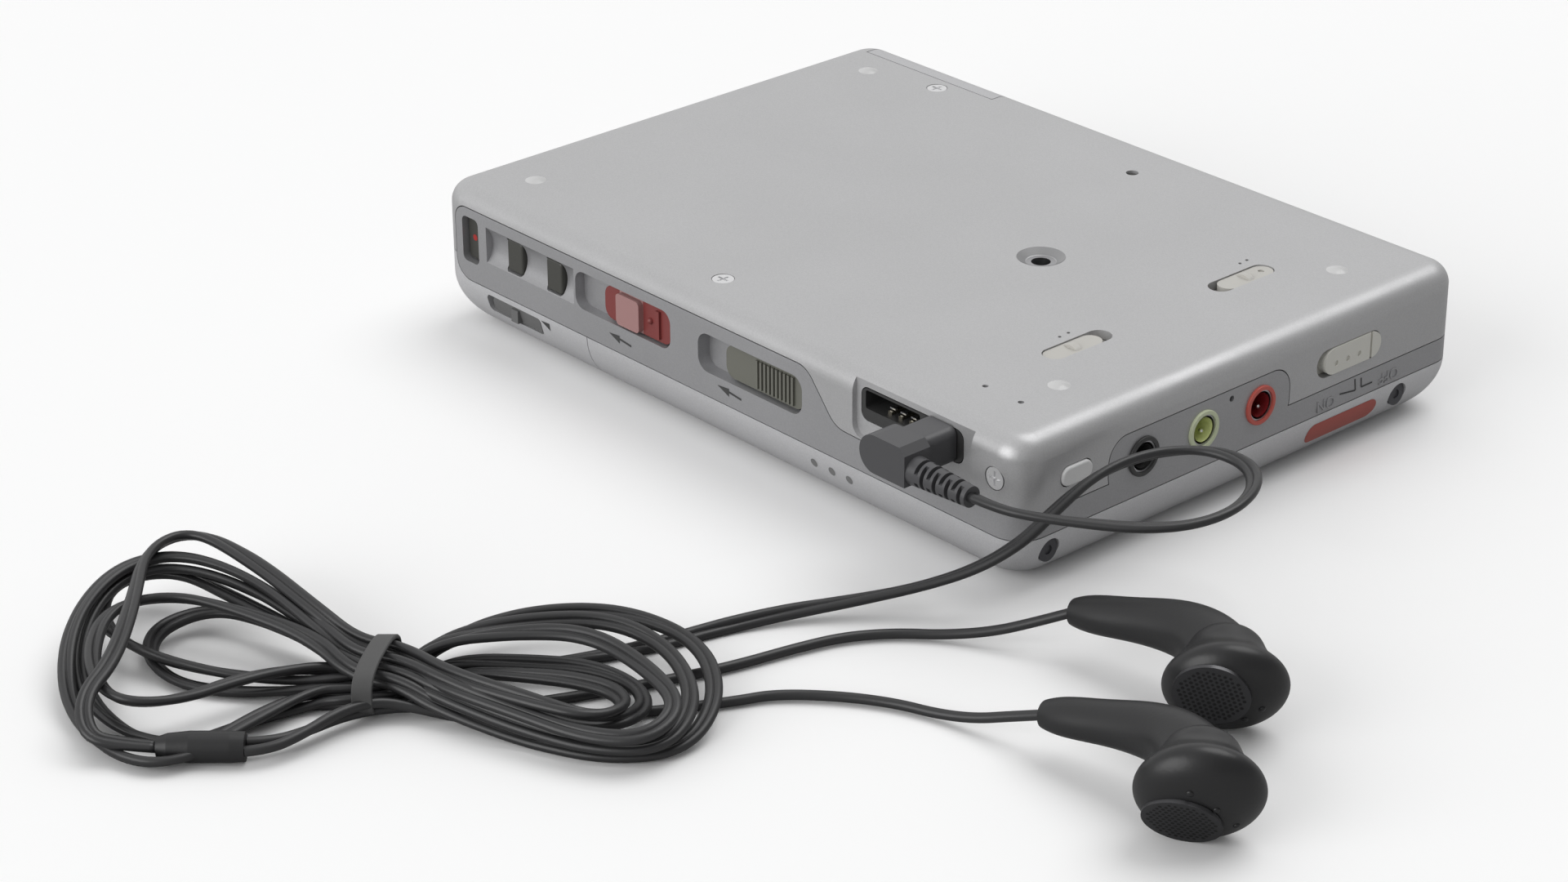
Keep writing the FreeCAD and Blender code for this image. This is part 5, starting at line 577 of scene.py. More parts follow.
@dataclass
class CaseDress:
    """Finishes for the pieces that come from the frame as they are."""

    finishes: dict[str, Finish] = field(default_factory=lambda: {
        "base_cover": COVER, "feet": FOOT, "side_trim": PANEL, "top_case_end": LID, "lid": LID,
        "hinge_pins": STEEL, "lid_side_screws": DARK_SCREW, "battery_door": DOOR, "battery": CELL,
        "battery_tray": BLACK, "contacts": CONTACT, "display_window": GLASS, "display_panel": PANEL_GLASS,
        "play_key": BUTTON, "back_key": BUTTON, "forward_key": BUTTON, "key_boards": BOARD,
        "erase_button": BUTTON, "t_mark_button": BUTTON, "end_search_button": BUTTON,
        "record_slide": RECORD, "open_slide": OPENER, "hold_slide": HOLDER, "avls_slide": KNOB,
        "mic_sens_slide": KNOB, "clock_button": BUTTON, "threaded_insert": STEEL, "case_screws": BRIGHT,
        "bass_button": BASS, "synchro_slide": IVORY, "line_out_ring": SOCKET, "line_in_ring": RING_GREEN,
        "mic_ring": RING_RED, "side_jacks": STEEL, "remote_socket": SOCKET, "headphone_jack": SOCKET,
        "plug_body": PLUG_SKIN, "plug_pin": GOLD, "strain_relief": PLUG_SKIN, "chassis": STEEL,
        "dampers": DAMPER, "spindle_motor": STEEL, "turntable": BRIGHT, "pickup_sled": BLACK,
        "pickup_lens": LENS, "guide_shafts": BRIGHT, "lead_screw": BRIGHT, "sled_motor": STEEL,
        "head_arm": STEEL, "disc_holder": STEEL, "main_board": BOARD,
        "earphone_left_shell": BUD_SKIN, "earphone_right_shell": BUD_SKIN, "earphone_grilles": GRILLE_SKIN,
        "main_lead": CORD_SKIN, "lead_hank": CORD_SKIN, "left_lead": CORD_SKIN, "right_lead": CORD_SKIN,
        "tie_band": TIE_SKIN, "cord_split": BUD_SKIN,
    })

    def build(self) -> None:
        """Give each frame piece its material."""
        for name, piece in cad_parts.items():
            finish = self.finishes.get(name)
            if finish is None:
                log.warning("no finish for %s", name)
                continue
            piece.data.materials.clear()
            piece.data.materials.append(finish.material())
        log.info("dressed %d frame pieces", len(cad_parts))


@dataclass
class Hank:
    """The route of the flat pair from the plug into its tied hank, and the two singles beyond."""

    tie: Point = (23.5, -108.1, 0.0)
    turn: float = math.radians(48)
    waist_half: float = 2.6
    to_right_slope: float = 0.2
    beside: tuple[Point, ...] = (
        (37.4, 15.9, 0.8), (30.8, 12.3, 0.7), (24.2, 9.6, 0.7), (17.6, 7.6, 0.7), (10.0, 6.2, 0.7),
    )
    to_left: tuple[Point, ...] = (
        (5.4, 0.8, 0.0), (-1.0, 4.0, 0.33), (0.6, 4.0, 0.27), (2.1, 4.6, 0.23), (3.4, 3.9, 0.31),
        (4.9, 4.7, 0.28),
    )
    to_right: tuple[tuple[float, float], ...] = ((1.2, 1.4), (4.0, 2.0), (2.6, 2.1), (-0.1, 2.0), (-1.5, 1.5))
    left_loops: tuple[tuple[Point, ...], ...] = (
        ((-7.5, 9.5, 2.2), (-14.5, 14.5, 2.6), (-20.5, 17.5, 2.6), (-26, 14.5, 2), (-27, 9.5, 1.3),
         (-23.5, 4, 0.8), (-17, 1.5, 0.7), (-7.5, 1.5, 1)),
        ((-7.5, 6, 5.3), (-16.5, 11.5, 5.7), (-24.5, 15, 5.8), (-31.5, 12.5, 5.5), (-32, 2, 5),
         (-28.5, -6.5, 4.4), (-21.5, -6, 3.8), (-14, -0.5, 4), (-7, 3.5, 2.9)),
        ((-8, 8, 4.1), (-16.5, 16.5, 3.8), (-25.5, 24.5, 3.9), (-33, 22, 3.4), (-33, 13.5, 3),
         (-26.5, 6.5, 2.7), (-17, 3, 2.1), (-7.5, 2.5, 1.5)),
        ((-8, 9, 5.9), (-17.5, 19, 6.8), (-26, 23.5, 6.7), (-32.5, 19.5, 6.2), (-35.5, 8, 4.8),
         (-33.5, -4, 1.5), (-27, -13, 1), (-20, -15, 1.4), (-13, -7, 2.3), (-7, -0.5, 2.1)),
        ((-7.5, 9.5, 4.7), (-18, 19, 5.4), (-26.5, 23, 5.4), (-32.5, 19.5, 4.9), (-34.5, 9.5, 3.5),
         (-32.5, -0.5, 1.8), (-26.5, -8, 0.9), (-20, -10, 0.8), (-13, -4.5, 0.7), (-7, -1, 0.7)),
        ((-7.5, 9.5, 6.8), (-15.5, 19, 7.9), (-23.5, 26.5, 8.1), (-28.5, 22, 7.9), (-28, 9.5, 7.6),
         (-28.5, -1.5, 6.6), (-31, -7.5, 5.4)),
    )
    right_loops: tuple[tuple[Point, ...], ...] = (
        ((6.5, 9.5, 2.7), (15.5, 14, 3.8), (26.5, 14, 4.2), (35.5, 8, 3.6), (38, -2.5, 2.6), (34.5, -11.5, 1),
         (26, -12.5, 0.8), (17.5, -9, 0.7), (7.5, -4.5, 2.2)),
        ((6.5, 7, 4.5), (15.5, 9.5, 5.3), (25.5, 9.5, 5.6), (32.5, 4, 4.8), (35.5, -5.5, 3.8),
         (32.5, -13.5, 2.6), (25.5, -13.5, 2.3), (17, -9.5, 2.6), (8, -4.5, 3.6)),
        ((6.5, 5, 5), (15.5, 5.5, 6.2), (23.5, 4, 6.8), (30, -2.5, 6.2), (34, -9.5, 5.4), (30.5, -14.5, 4.2),
         (24, -13.5, 3.9), (16.5, -9, 4.2), (8, -4, 4.8)),
        ((7.5, 5.5, 2.4), (16, 5.5, 2.2), (23.5, 4.5, 2.2), (29, 0.5, 2), (30, -5, 2), (25, -9, 2.4),
         (17, -6, 2.9), (8.5, -2.5, 3.3)),
        ((8, 4.5, 1.6), (16, 0.5, 3.5), (22, -1.5, 4), (26.5, -3.5, 3.8), (28, -7, 3.8), (24.5, -11, 4.8),
         (17.5, -8.5, 5.5), (8.5, -3, 5.4)),
    )
    into_split: tuple[Point, ...] = ((-30.0, -11.7, 3.0), (-26.5, -12.1, 2.3), (-22.5, -12.1, 1.9))
    lead: tuple[Point, ...] = (
            (53.02, -45.5, 15.4), (57.2, -45.45, 15.4), (61.4, -43.5, 15.3), (65.6, -40.6, 15.2),
            (70.7, -36.9, 15.2), (74.6, -32.3, 15.4), (75.9, -26.7, 15.8), (73.9, -20.8, 16.0),
            (69.7, -17.2, 16.1), (64.6, -17.4, 16.1), (60.7, -20.7, 15.9), (58.7, -25.8, 15.6),
            (57.9, -31.1, 14.7), (57.5, -36.2, 12.5), (56.6, -40.6, 9.4), (53.6, -44.9, 6.2),
            (49.2, -49.8, 3.8), (44.2, -55.8, 2.2), (39.8, -62.2, 1.3),
    )
    left_beside: tuple[Point, ...] = (
        (-12.9, -11.2, 1.9), (-10.2, -10.8, 1.8), (-7, -8.4, 1.5), (-3.4, -4.8, 1.3), (0.6, -3, 1.3),
        (5, -2.3, 1.1), (10, -2, 0.8), (16, -1.2, 0.7), (22, 0.6, 0.7), (28, 2.6, 0.7), (34, 5, 0.7),
        (39.5, 7.4, 0.7),
    )
    left_free: tuple[Point, ...] = (
        (46.3, -65.9, 0.8), (48.0, -60.4, 0.8), (51.2, -55.6, 0.8), (55.4, -51.9, 0.9), (59.8, -48.6, 1.9),
        (63.3, -45.7, 3.4), (66.5, -43.1, 5.0),
    )
    right_beside: tuple[Point, ...] = (
        (-12.9, -13.1, 1.9), (-10.2, -12.8, 2), (-7, -10.2, 2.3), (-3.4, -6, 2.7), (0.6, -3.5, 2.6),
        (5, -3.6, 1.6), (10, -4.3, 0.7), (16, -4.6, 0.7), (22, -4.2, 0.7), (28, -3.2, 0.7), (34, -2, 0.7),
        (39.8, -0.5, 0.7), (44.1, 0.8, 0.8),
    )
    right_free: tuple[Point, ...] = (
        (57.6, -69.8, 0.8), (62.8, -66.4, 0.8), (67.6, -64.6, 0.8), (72.0, -63.2, 1.6), (75.8, -61.9, 3.0),
        (79.5, -60.9, 4.4),
    )

    def to_part(self, point: Point) -> Vector:
        """Carry a point given along, across and above the hank, in mm, to the part's frame in metres.

        Args:
            point: Along, across and up, in mm.

        Returns:
            The point in metres.
        """
        along, across, up = point
        cos, sin = math.cos(self.turn), math.sin(self.turn)
        return Vector((
            self.tie[0] + along * cos - across * sin,
            self.tie[1] + along * sin + across * cos,
            self.tie[2] + up,
        )) * MM

    def pair_points(self) -> list[Vector]:
        """Points of the pair from the strain relief, beside the hank, round it and into the splitter.

        Each turn goes under the tie, round a left loop, back under the tie and round a right loop.

        Returns:
            Control points in metres.
        """
        points = list(self.beside)
        half = self.waist_half
        for number, loop in enumerate(self.left_loops):
            across, height, slope = self.to_left[number]
            points += [(half, across - slope * half, height), (-half, across + slope * half, height)]
            points += loop
            if number == len(self.right_loops):
                break
            across, height = self.to_right[number]
            rise = self.to_right_slope * half
            points += [(-half, across - rise, height), (half, across + rise, height)]
            points += self.right_loops[number]
        points += self.into_split
        return [Vector(point) * MM for point in self.lead] + [self.to_part(point) for point in points]

    def single_points(self, side: str) -> list[Vector]:
        """Points of one single, from the splitter past the hank to its earphone.

        Args:
            side: Which earphone, left or right.

        Returns:
            Control points in metres.
        """
        beside, free = self.left_beside, self.left_free
        if side == "right":
            beside, free = self.right_beside, self.right_free
        return [self.to_part(point) for point in beside] + [Vector(point) * MM for point in free]


def finished_mesh(name: str, edit: bmesh.types.BMesh, finish: Finish) -> bpy.types.Object:
    """Turn an edit mesh into a smooth piece in the scene, and free the edit mesh.

    Args:
        name: Name of the piece.
        edit: The edit mesh.
        finish: What it is made of.

    Returns:
        The mesh object.
    """
    mesh = bpy.data.meshes.new(name)
    edit.to_mesh(mesh)
    edit.free()
    mesh.shade_smooth()
    mesh.materials.append(finish.material())
    return put(name, mesh)


def solid_piece(
    name: str, vertices: list[Vector], faces: Faces, finish: Finish, sharp: bool = True,
) -> bpy.types.Object:
    """Make one piece from points and faces, with its finish.

    Args:
        name: Name of the piece.
        vertices: Points in metres.
        faces: Corners of each face.
        finish: What it is made of.
        sharp: Whether its steep edges are left sharp.

    Returns:
        The mesh object, in the scene.
    """
    mesh = bpy.data.meshes.new(name)
    mesh.from_pydata(vertices, [], faces)
    edit = bmesh.new()
    edit.from_mesh(mesh)
    bpy.data.meshes.remove(mesh)
    bmesh.ops.recalc_face_normals(edit, faces=edit.faces)
    piece = finished_mesh(name, edit, finish)
    if sharp:
        piece.data.set_sharp_from_angle(angle=math.radians(40))
    return piece


def touch(names: tuple[str, ...], start: Vector, toward: Vector) -> tuple[Vector, Vector]:
    """Find where a straight line first meets some frame pieces.

    Args:
        names: The frame pieces.
        start: Where the line starts, in metres.
        toward: Its direction.

    Returns:
        The place and the outward normal there.

    Raises:
        ValueError: If the line meets none of them.
    """
    best = None
    for name in names:
        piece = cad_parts[name]
        back = piece.matrix_world.inverted()
        turned = back.to_3x3() @ toward
        met, place, normal, _ = piece.ray_cast(back @ start, turned.normalized())
        if not met:
            continue
        place = piece.matrix_world @ place
        normal = (piece.matrix_world.to_3x3() @ normal).normalized()
        if normal.dot(toward) > 0:
            normal.negate()
        if best is None or (place - start).length < (best[0] - start).length:
            best = (place, normal)
    if best is None:
        raise ValueError(f"nothing met from {start[:]}")
    return best


def smooth_route(name: str, points: list[Vector], fine: int = 12) -> bpy.types.Object:
    """Lay one open smooth spline whose control points are a cord's route.

    Args:
        name: Name of the curve.
        points: Control points in metres.
        fine: Steps from one control point to the next.

    Returns:
        The curve object, without a section.
    """
    data = bpy.data.curves.new(name, "CURVE")
    data.dimensions = "3D"
    data.resolution_u = fine
    spline = data.splines.new("NURBS")
    spline.points.add(len(points) - 1)
    for place, point in zip(spline.points, points):
        place.co = (*point, 1)
    spline.order_u = 3
    spline.use_endpoint_u = True
    return bpy.data.objects.new(name, data)


def route_line(route: bpy.types.Object, step: float) -> list[Vector]:
    """Read evenly spaced points off a route's spline.

    Args:
        route: The curve object.
        step: Distance between the points in metres.

    Returns:
        The points, first and last included.
    """
    mesh = bpy.data.meshes.new_from_object(route)
    places = [vertex.co.copy() for vertex in mesh.vertices]
    bpy.data.meshes.remove(mesh)
    along = [0.0]
    for before, after in zip(places, places[1:]):
        along.append(along[-1] + (after - before).length)
    count = max(2, round(along[-1] / step))
    line, index = [], 0
    for number in range(count + 1):
        target = along[-1] * number / count
        while index < len(along) - 2 and along[index + 1] < target:
            index += 1
        gap = along[index + 1] - along[index]
        share = (target - along[index]) / gap if gap else 0.0
        line.append(places[index].lerp(places[index + 1], share))
    return line


@dataclass
class FlatPair:
    """Two round leads moulded side by side, drawn along a line."""

    lead_radius: float = 0.55 * MM
    half_apart: float = 0.45 * MM
    sides: int = 28
    crowding: float = 0.32
    step: float = 0.7 * MM

    def outline(self) -> list[Spot]:
        """Section of the pair, as a waisted figure of eight, with its points crowded towards the waist.

        Returns:
            Points across and up, counter-clockwise.
        """
        points = []
        for number in range(self.sides):
            angle = 2 * math.pi * number / self.sides
            angle -= self.crowding * math.sin(4 * angle) / 2
            inner = self.lead_radius ** 2 - (self.half_apart * math.sin(angle)) ** 2
            reach = self.half_apart * abs(math.cos(angle)) + math.sqrt(inner)
            points.append((reach * math.cos(angle), reach * math.sin(angle)))
        return points

    def lay(self, name: str, line: list[Vector], rolls: list[float]) -> bpy.types.Object:
        """Draw the pair along a line.

        Args:
            name: Name of the piece.
            line: Evenly spaced points.
            rolls: Turn of the section at each point, 0 with the pair lying flat.

        Returns:
            The mesh object.
        """
        section, vertices = self.outline(), []
        last, count = len(line) - 1, self.sides
        for index, place in enumerate(line):
            ahead = (line[min(index + 1, last)] - line[max(index - 1, 0)]).normalized()
            flat = Vector((ahead.y, -ahead.x, 0)).normalized()
            rise = flat.cross(ahead).normalized()
            cos, sin = math.cos(rolls[index]), math.sin(rolls[index])
            side, up = flat * cos + rise * sin, rise * cos - flat * sin
            vertices += [place + side * x + up * y for x, y in section]
        ends = [tuple(range(count - 1, -1, -1)), tuple(range(last * count, last * count + count))]
        return solid_piece(name, vertices, ring_faces(len(line), count) + ends, CORD_SKIN, sharp=False)


@dataclass
class Tie:
    """The flat band round the waist of the hank, with its sizes in mm."""

    middle: float = 1.15
    half_across: float = 5.45
    mid_height: float = 3.25
    half_height: float = 2.75
    width: float = 2.3
    thickness: float = 0.45
    chamfer: float = 0.12
    slant: float = 1.1
    squareness: float = 0.72
    steps: int = 96

    def ring(self, hank: Hank, out: float, side: float) -> list[Vector]:
        """Draw one edge line of the band.

        Args:
            hank: The hank it ties.
            out: Distance out from the inner face in mm.
            side: Distance along the hank from the band's middle in mm.

        Returns:
            Points once round, in metres.
        """
        line = []
        for cos, sin in circle(self.steps):
            across = math.copysign(abs(cos) ** self.squareness, cos)
            up = math.copysign(abs(sin) ** self.squareness, sin)
            line.append(hank.to_part((
                side + self.slant * across,
                self.middle + (self.half_across + out) * across,
                self.mid_height + (self.half_height + out) * up,
            )))
        return line

    def build(self, hank: Hank) -> bpy.types.Object:
        """Lay the band round the hank.

        Args:
            hank: The hank it ties.

        Returns:
            The band.
        """
        half, edge = self.width / 2, self.width / 2 - self.chamfer
        near, far, full = self.chamfer, self.thickness - self.chamfer, self.thickness
        outline = [(0.0, -edge), (near, -half), (far, -half), (full, -edge),
                   (full, edge), (far, half), (near, half), (0.0, edge)]
        vertices = [place for out, side in outline for place in self.ring(hank, out, side)]
        band = solid_piece("hank_tie", vertices, ring_faces(len(outline), self.steps, closed=True), TIE_SKIN)
        settle(band)
        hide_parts("tie_band")
        log.info("tie %.1f mm wide", self.width)
        return band


def line_length(line: list[Vector]) -> float:
    """Length of a line of points."""
    return sum((after - before).length for before, after in zip(line, line[1:]))


@dataclass
class Cords:
    """The flat pair in its hank and the two singles.

    The pair's twist is the sum of two waves, each with a height in radians, a pace along it and a start.
    """

    hank: Hank = field(default_factory=Hank)
    pair: FlatPair = field(default_factory=FlatPair)
    single_radius: float = 0.6 * MM
    tie_reach: float = 9 * MM
    waves: tuple[Point, ...] = ((0.55, 71, 0.0), (0.35, 173, 1.3))

    def roll(self, along: float, place: Vector) -> float:
        """Turn of the pair about its own line: on edge under the tie, flat where it lies on the table.

        Args:
            along: Distance along the cord in metres.
            place: The point there.

        Returns:
            The turn in radians.
        """
        middle = Vector(self.hank.tie) * MM
        near = math.exp(-(((place - middle).xy.length / self.tie_reach) ** 2))
        wander = sum(height * math.sin(along * pace + start) for height, pace, start in self.waves)
        turn = wander * (1 - near) + math.pi / 2 * near
        room = (place.z - self.pair.lead_radius) / self.pair.half_apart
        most = math.asin(min(1.0, max(0.0, room)))
        return min(most, max(-most, turn))

    def lay_pair(self) -> None:
        tie = Tie().build(self.hank)
        line = route_line(smooth_route("pair_route", self.hank.pair_points()), self.pair.step)
        length = line_length(line)
        rolls = [self.roll(length * index / len(line), place) for index, place in enumerate(line)]
        pair = self.pair.lay("flat_pair", line, rolls)
        settle(pair)
        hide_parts("main_lead", "lead_hank")
        log.info("pair %.0f mm", length * 1000)

    def lay_single(self, side: str) -> None:
        """Args:
            side: Which earphone it goes to, left or right.
        """
        points = self.hank.single_points(side)
        cord = smooth_route(f"single_{side}", points)
        length = line_length(route_line(cord, self.pair.step))
        cord.data.bevel_depth = self.single_radius
        cord.data.bevel_resolution = 5
        cord.data.use_fill_caps = True
        cord.data.materials.append(CORD_SKIN.material())
        bpy.context.scene.collection.objects.link(cord)
        settle(cord)
        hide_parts(f"{side}_lead")
        log.info("single %s %.0f mm", side, length * 1000)

    def build(self) -> None:
        """Lay the pair, then both singles."""
        self.lay_pair()
        for side in ("left", "right"):
            self.lay_single(side)


@dataclass
class Face:
    """One side of the case: where a mark's two numbers lead, and the way onto it."""

    across: Vector
    up: Vector
    outward: Vector
    lift: float = 0.03 * MM

    def spot(self, names: tuple[str, ...], right: float, high: float) -> Vector:
        """Find the point of a side's surface at two coordinates, in mm, lifted a hair off it.

        Args:
            names: The frame pieces that carry the mark.
            right: First coordinate in mm.
            high: Second coordinate in mm.

        Returns:
            The point in metres.
        """
        start = (self.across * right + self.up * high) * MM + self.outward * 0.1
        place, _ = touch(names, start, -self.outward)
        return place + self.outward * self.lift


FRONT = Face(Vector((1, 0, 0)), Vector((0, 0, 1)), Vector((0, -1, 0)))
JACKS = Face(Vector((0, 1, 0)), Vector((0, 0, 1)), Vector((1, 0, 0)))
BASE = Face(Vector((1, 0, 0)), Vector((0, 1, 0)), Vector((0, 0, 1)))


@dataclass
class Markings:
    """The signs moulded or printed on the case, without any of its words but ON and OFF, and a grey ring of
    painted shade in the dish round the thread. Sizes are in mm.
    """

    badge_middle: Spot = (17.7, 4.6)
    badge_length: float = 13.2
    badge_height: float = 2.8
    badge_bands: int = 14
    dish_middle: Spot = (17.6, 1.2)
    dish_radii: tuple[float, ...] = (3.1, 2.7, 2.3, 2.0)
    word_height: float = 1.5
    word_depth: float = 0.12
    capital_share: float = 0.7
    count: int = 0

    def lay(
        self, name: str, face: Face, vertices: list[Vector], faces: Faces, finish: Finish,
        slot: str = "frame_black", body: str = "recorder",
    ) -> None:
        """Lay one mark of one or more faces, turned outwards.

        Args:
            name: Name of the piece.
            face: The side it lies on.
            vertices: Its points in metres.
            faces: The corners of each of its faces.
            finish: Its ink or plastic.
            slot: Not used.
            body: The body it moves with.
        """
        mark = solid_piece(name, vertices, faces, finish)
        if mark.data.polygons[0].normal.dot(face.outward) < 0:
            mark.data.flip_normals()
        settle(mark, body)
        self.count += 1

    def shape(
        self, name: str, face: Face, names: tuple[str, ...], outline: list[Spot], finish: Finish, **wear: str,
    ) -> None:
        """Lay one flat mark on a side.

        Args:
            name: Name of the piece.
            face: The side.
            names: The frame pieces that carry it.
            outline: Its corners on the side.
            finish: Its ink or plastic.
            wear: Its slot and body, where they aren't the usual ones.
        """
        vertices = [face.spot(names, right, high) for right, high in outline]
        self.lay(name, face, vertices, [tuple(range(len(vertices)))], finish, **wear)

    def dot(self, centre: Spot, radius: float, sides: int = 20) -> list[Spot]:
        """Outline of a round dot."""
        return [(centre[0] + radius * cos, centre[1] + radius * sin) for cos, sin in circle(sides)]

    def stroke(self, start: Spot, end: Spot, width: float) -> list[Spot]:
        """Outline of a straight stroke.

        Args:
            start: One end.
            end: The other end.
            width: Its width.

        Returns:
            Its four corners.
        """
        run, rise = end[0] - start[0], end[1] - start[1]
        long = math.hypot(run, rise)
        right, high = -rise / long * width / 2, run / long * width / 2
        return [(start[0] - right, start[1] - high), (end[0] - right, end[1] - high),
                (end[0] + right, end[1] + high), (start[0] + right, start[1] + high)]

    def badge(self) -> None:
        """Lay the long bare badge with round ends, in bands that follow the rounding of the lid."""
        half, vertices = self.badge_height / 2, []
        for band in range(self.badge_bands + 1):
            rise = -half * math.cos(math.pi * band / self.badge_bands)
            reach = (self.badge_length - self.badge_height) / 2 + math.sqrt(max(half ** 2 - rise ** 2, 0.0))
            for end in (-reach, reach):
                vertices.append(JACKS.spot(("lid",), self.badge_middle[0] + end, self.badge_middle[1] + rise))
        firsts = range(0, 2 * self.badge_bands, 2)
        faces = [(first, first + 1, first + 3, first + 2) for first in firsts]
        self.lay("badge", JACKS, vertices, faces, BADGE, "rec_red", "lid_body")

    def dish(self) -> None:
        """Line the shallow dish round the stand's thread with a flat grey annulus of painted shade, standing
        for the shade of its hollow.
        """
        sides, carriers = 48, ("base_cover", "threaded_insert")
        spots = [spot for radius in self.dish_radii for spot in self.dot(self.dish_middle, radius, sides)]
        vertices = [BASE.spot(carriers, *spot) for spot in spots]
        # The annulus is painted shade, not a colour of the cover.
        self.lay("thread_dish_painted_shade", BASE, vertices, ring_faces(len(self.dish_radii), sides), DISH_PAINTED_SHADE, "cover")

    def word(self, name: str, letters: str, centre: Spot) -> None:
        """Raise one short word on the jack side, upside down as the case lies.

        Args:
            name: Name of the piece.
            letters: The word.
            centre: Its middle on the side.
        """
        curve = bpy.data.curves.new(name, "FONT")
        curve.body = letters
        curve.align_x, curve.align_y = "CENTER", "CENTER"
        curve.size = self.word_height * MM / self.capital_share
        curve.extrude = self.word_depth * MM
        curve.resolution_u = 3
        flat = bpy.data.objects.new(name, curve)
        mesh = bpy.data.meshes.new_from_object(flat)
        bpy.data.objects.remove(flat)
        turn = Matrix((Vector((0, -1, 0)), Vector((0, 0, -1)), Vector((1, 0, 0)))).transposed().to_4x4()
        mesh.transform(Matrix.Translation(JACKS.spot(("side_trim",), *centre)) @ turn)
        mesh.materials.clear()
        mesh.materials.append(PANEL.material())
        settle(put(name, mesh))
        self.count += 1

    def build(self) -> None:
        """Lay all the marks."""
        trim, lid = ("side_trim",), ("lid",)
        for name, tip, base in (("record_arrow", -19.4, -17.3), ("open_arrow", 1.7, 3.9)):
            self.shape(f"{name}_head", FRONT, trim, [(tip, 9.45), (base, 8.55), (base, 9.65)], INK_DARK)
            bar = self.stroke((base, 9.2), (base + 2.3, 8.95), 0.3)
            self.shape(f"{name}_bar", FRONT, trim, bar, INK_DARK)
        carriers, corners = ("top_case_end", "lid", "side_trim"), [(-33.6, 6.3), (-31.8, 5.3), (-31.8, 6.4)]
        self.shape("hold_sign", FRONT, carriers, corners, INK_DARK)
        for number, place in enumerate((19.2, 22.4, 25.5)):
            dot = self.dot((place, 5.0), 0.58)
            self.shape(f"lid_dot_{number}", FRONT, lid, dot, INK_MID, body="lid_body")
        for number, place in enumerate(((36.1, -12.8), (36.2, -14.4), (35.9, 19.5), (36.0, 18.1))):
            self.shape(f"switch_dot_{number}", BASE, ("base_cover",), self.dot(place, 0.2), INK_DARK)
        self.shape(
            "erase_dot", FRONT, ("erase_button",), self.dot((-48.2, 13.2), 0.45), INK_RED,
            body="erase_button_body", slot="rec_red",
        )
        self.badge()
        self.dish()
        ticks = (((16.6, 8.8), (19.6, 8.4)), ((19.6, 8.4), (19.4, 10.0)), ((20.6, 9.8), (20.7, 8.5)),
                 ((20.7, 8.5), (22.8, 8.5)))
        for number, (start, end) in enumerate(ticks):
            self.shape(f"tick_{number}", JACKS, trim, self.stroke(start, end, 0.22), INK_DARK)
        self.word("on_word", "ON", (14.0, 8.4))
        self.word("off_word", "OFF", (25.9, 8.5))
        log.info("%d marks", self.count)


@dataclass
class Jacks:
    """Coloured linings, spring contacts and thin contact strips inside the sockets. The strips are in mm."""

    lining_radius: float = 1.55 * MM
    depth: float = 3.4 * MM
    mouth: float = 54.6 * MM
    height: float = 12.2 * MM
    ball: float = 0.34 * MM
    ball_place: Point = (1.2 * MM, 0.9 * MM, 0.85 * MM)
    sides: int = 40
    strip_places: tuple[float, ...] = (31.2, 33.0, 34.8)
    strip_half: float = 0.45
    strip_depths: Spot = (-37.3, -36.9)
    strip_heights: Spot = (15.95, 16.15)

    def lining(self, name: str, middle: float, finish: Finish) -> None:
        """Line one jack with a thin open sleeve, and put its contact in.

        Args:
            name: Name of the jack.
            middle: Its place along the side in metres.
            finish: The sleeve's plastic.
        """
        radius, vertices = self.lining_radius, []
        for inward in (0.0, self.depth):
            for cos, sin in circle(self.sides):
                spot = (self.mouth - inward, middle + radius * cos, self.height + radius * sin)
                vertices.append(Vector(spot))
        sleeve = solid_piece(f"{name}_lining", vertices, ring_faces(2, self.sides), finish)
        sleeve.data.flip_normals()
        settle(sleeve)
        edit = bmesh.new()
        bmesh.ops.create_uvsphere(edit, u_segments=20, v_segments=12, radius=self.ball)
        contact = finished_mesh(f"{name}_contact", edit, BRIGHT)
        inward, across, down = self.ball_place
        place = (self.mouth - inward, middle + across, self.height - down)
        contact.data.transform(Matrix.Translation(place))
        settle(contact)

    def strips(self) -> None:
        """Put the three contact strips into the remote socket."""
        front, back = self.strip_depths
        faces = [(0, 1, 2, 3), (4, 5, 6, 7), (0, 1, 5, 4), (1, 2, 6, 5), (2, 3, 7, 6), (3, 0, 4, 7)]
        for number, place in enumerate(self.strip_places):
            left, right = place - self.strip_half, place + self.strip_half
            spots = [(left, front), (right, front), (right, back), (left, back)]
            vertices = [Vector((x, y, z)) * MM for z in self.strip_heights for x, y in spots]
            settle(solid_piece(f"remote_contact_{number}", vertices, faces, BRIGHT))

    def build(self) -> None:
        """Line the three jacks and fit the strips."""
        self.lining("line_out", -18.8 * MM, SOCKET)
        self.lining("line_in", -8.4 * MM, SLEEVE_GREEN)
        self.lining("mic", 1.7 * MM, SLEEVE_RED)
        self.strips()
        log.info("sockets lined")


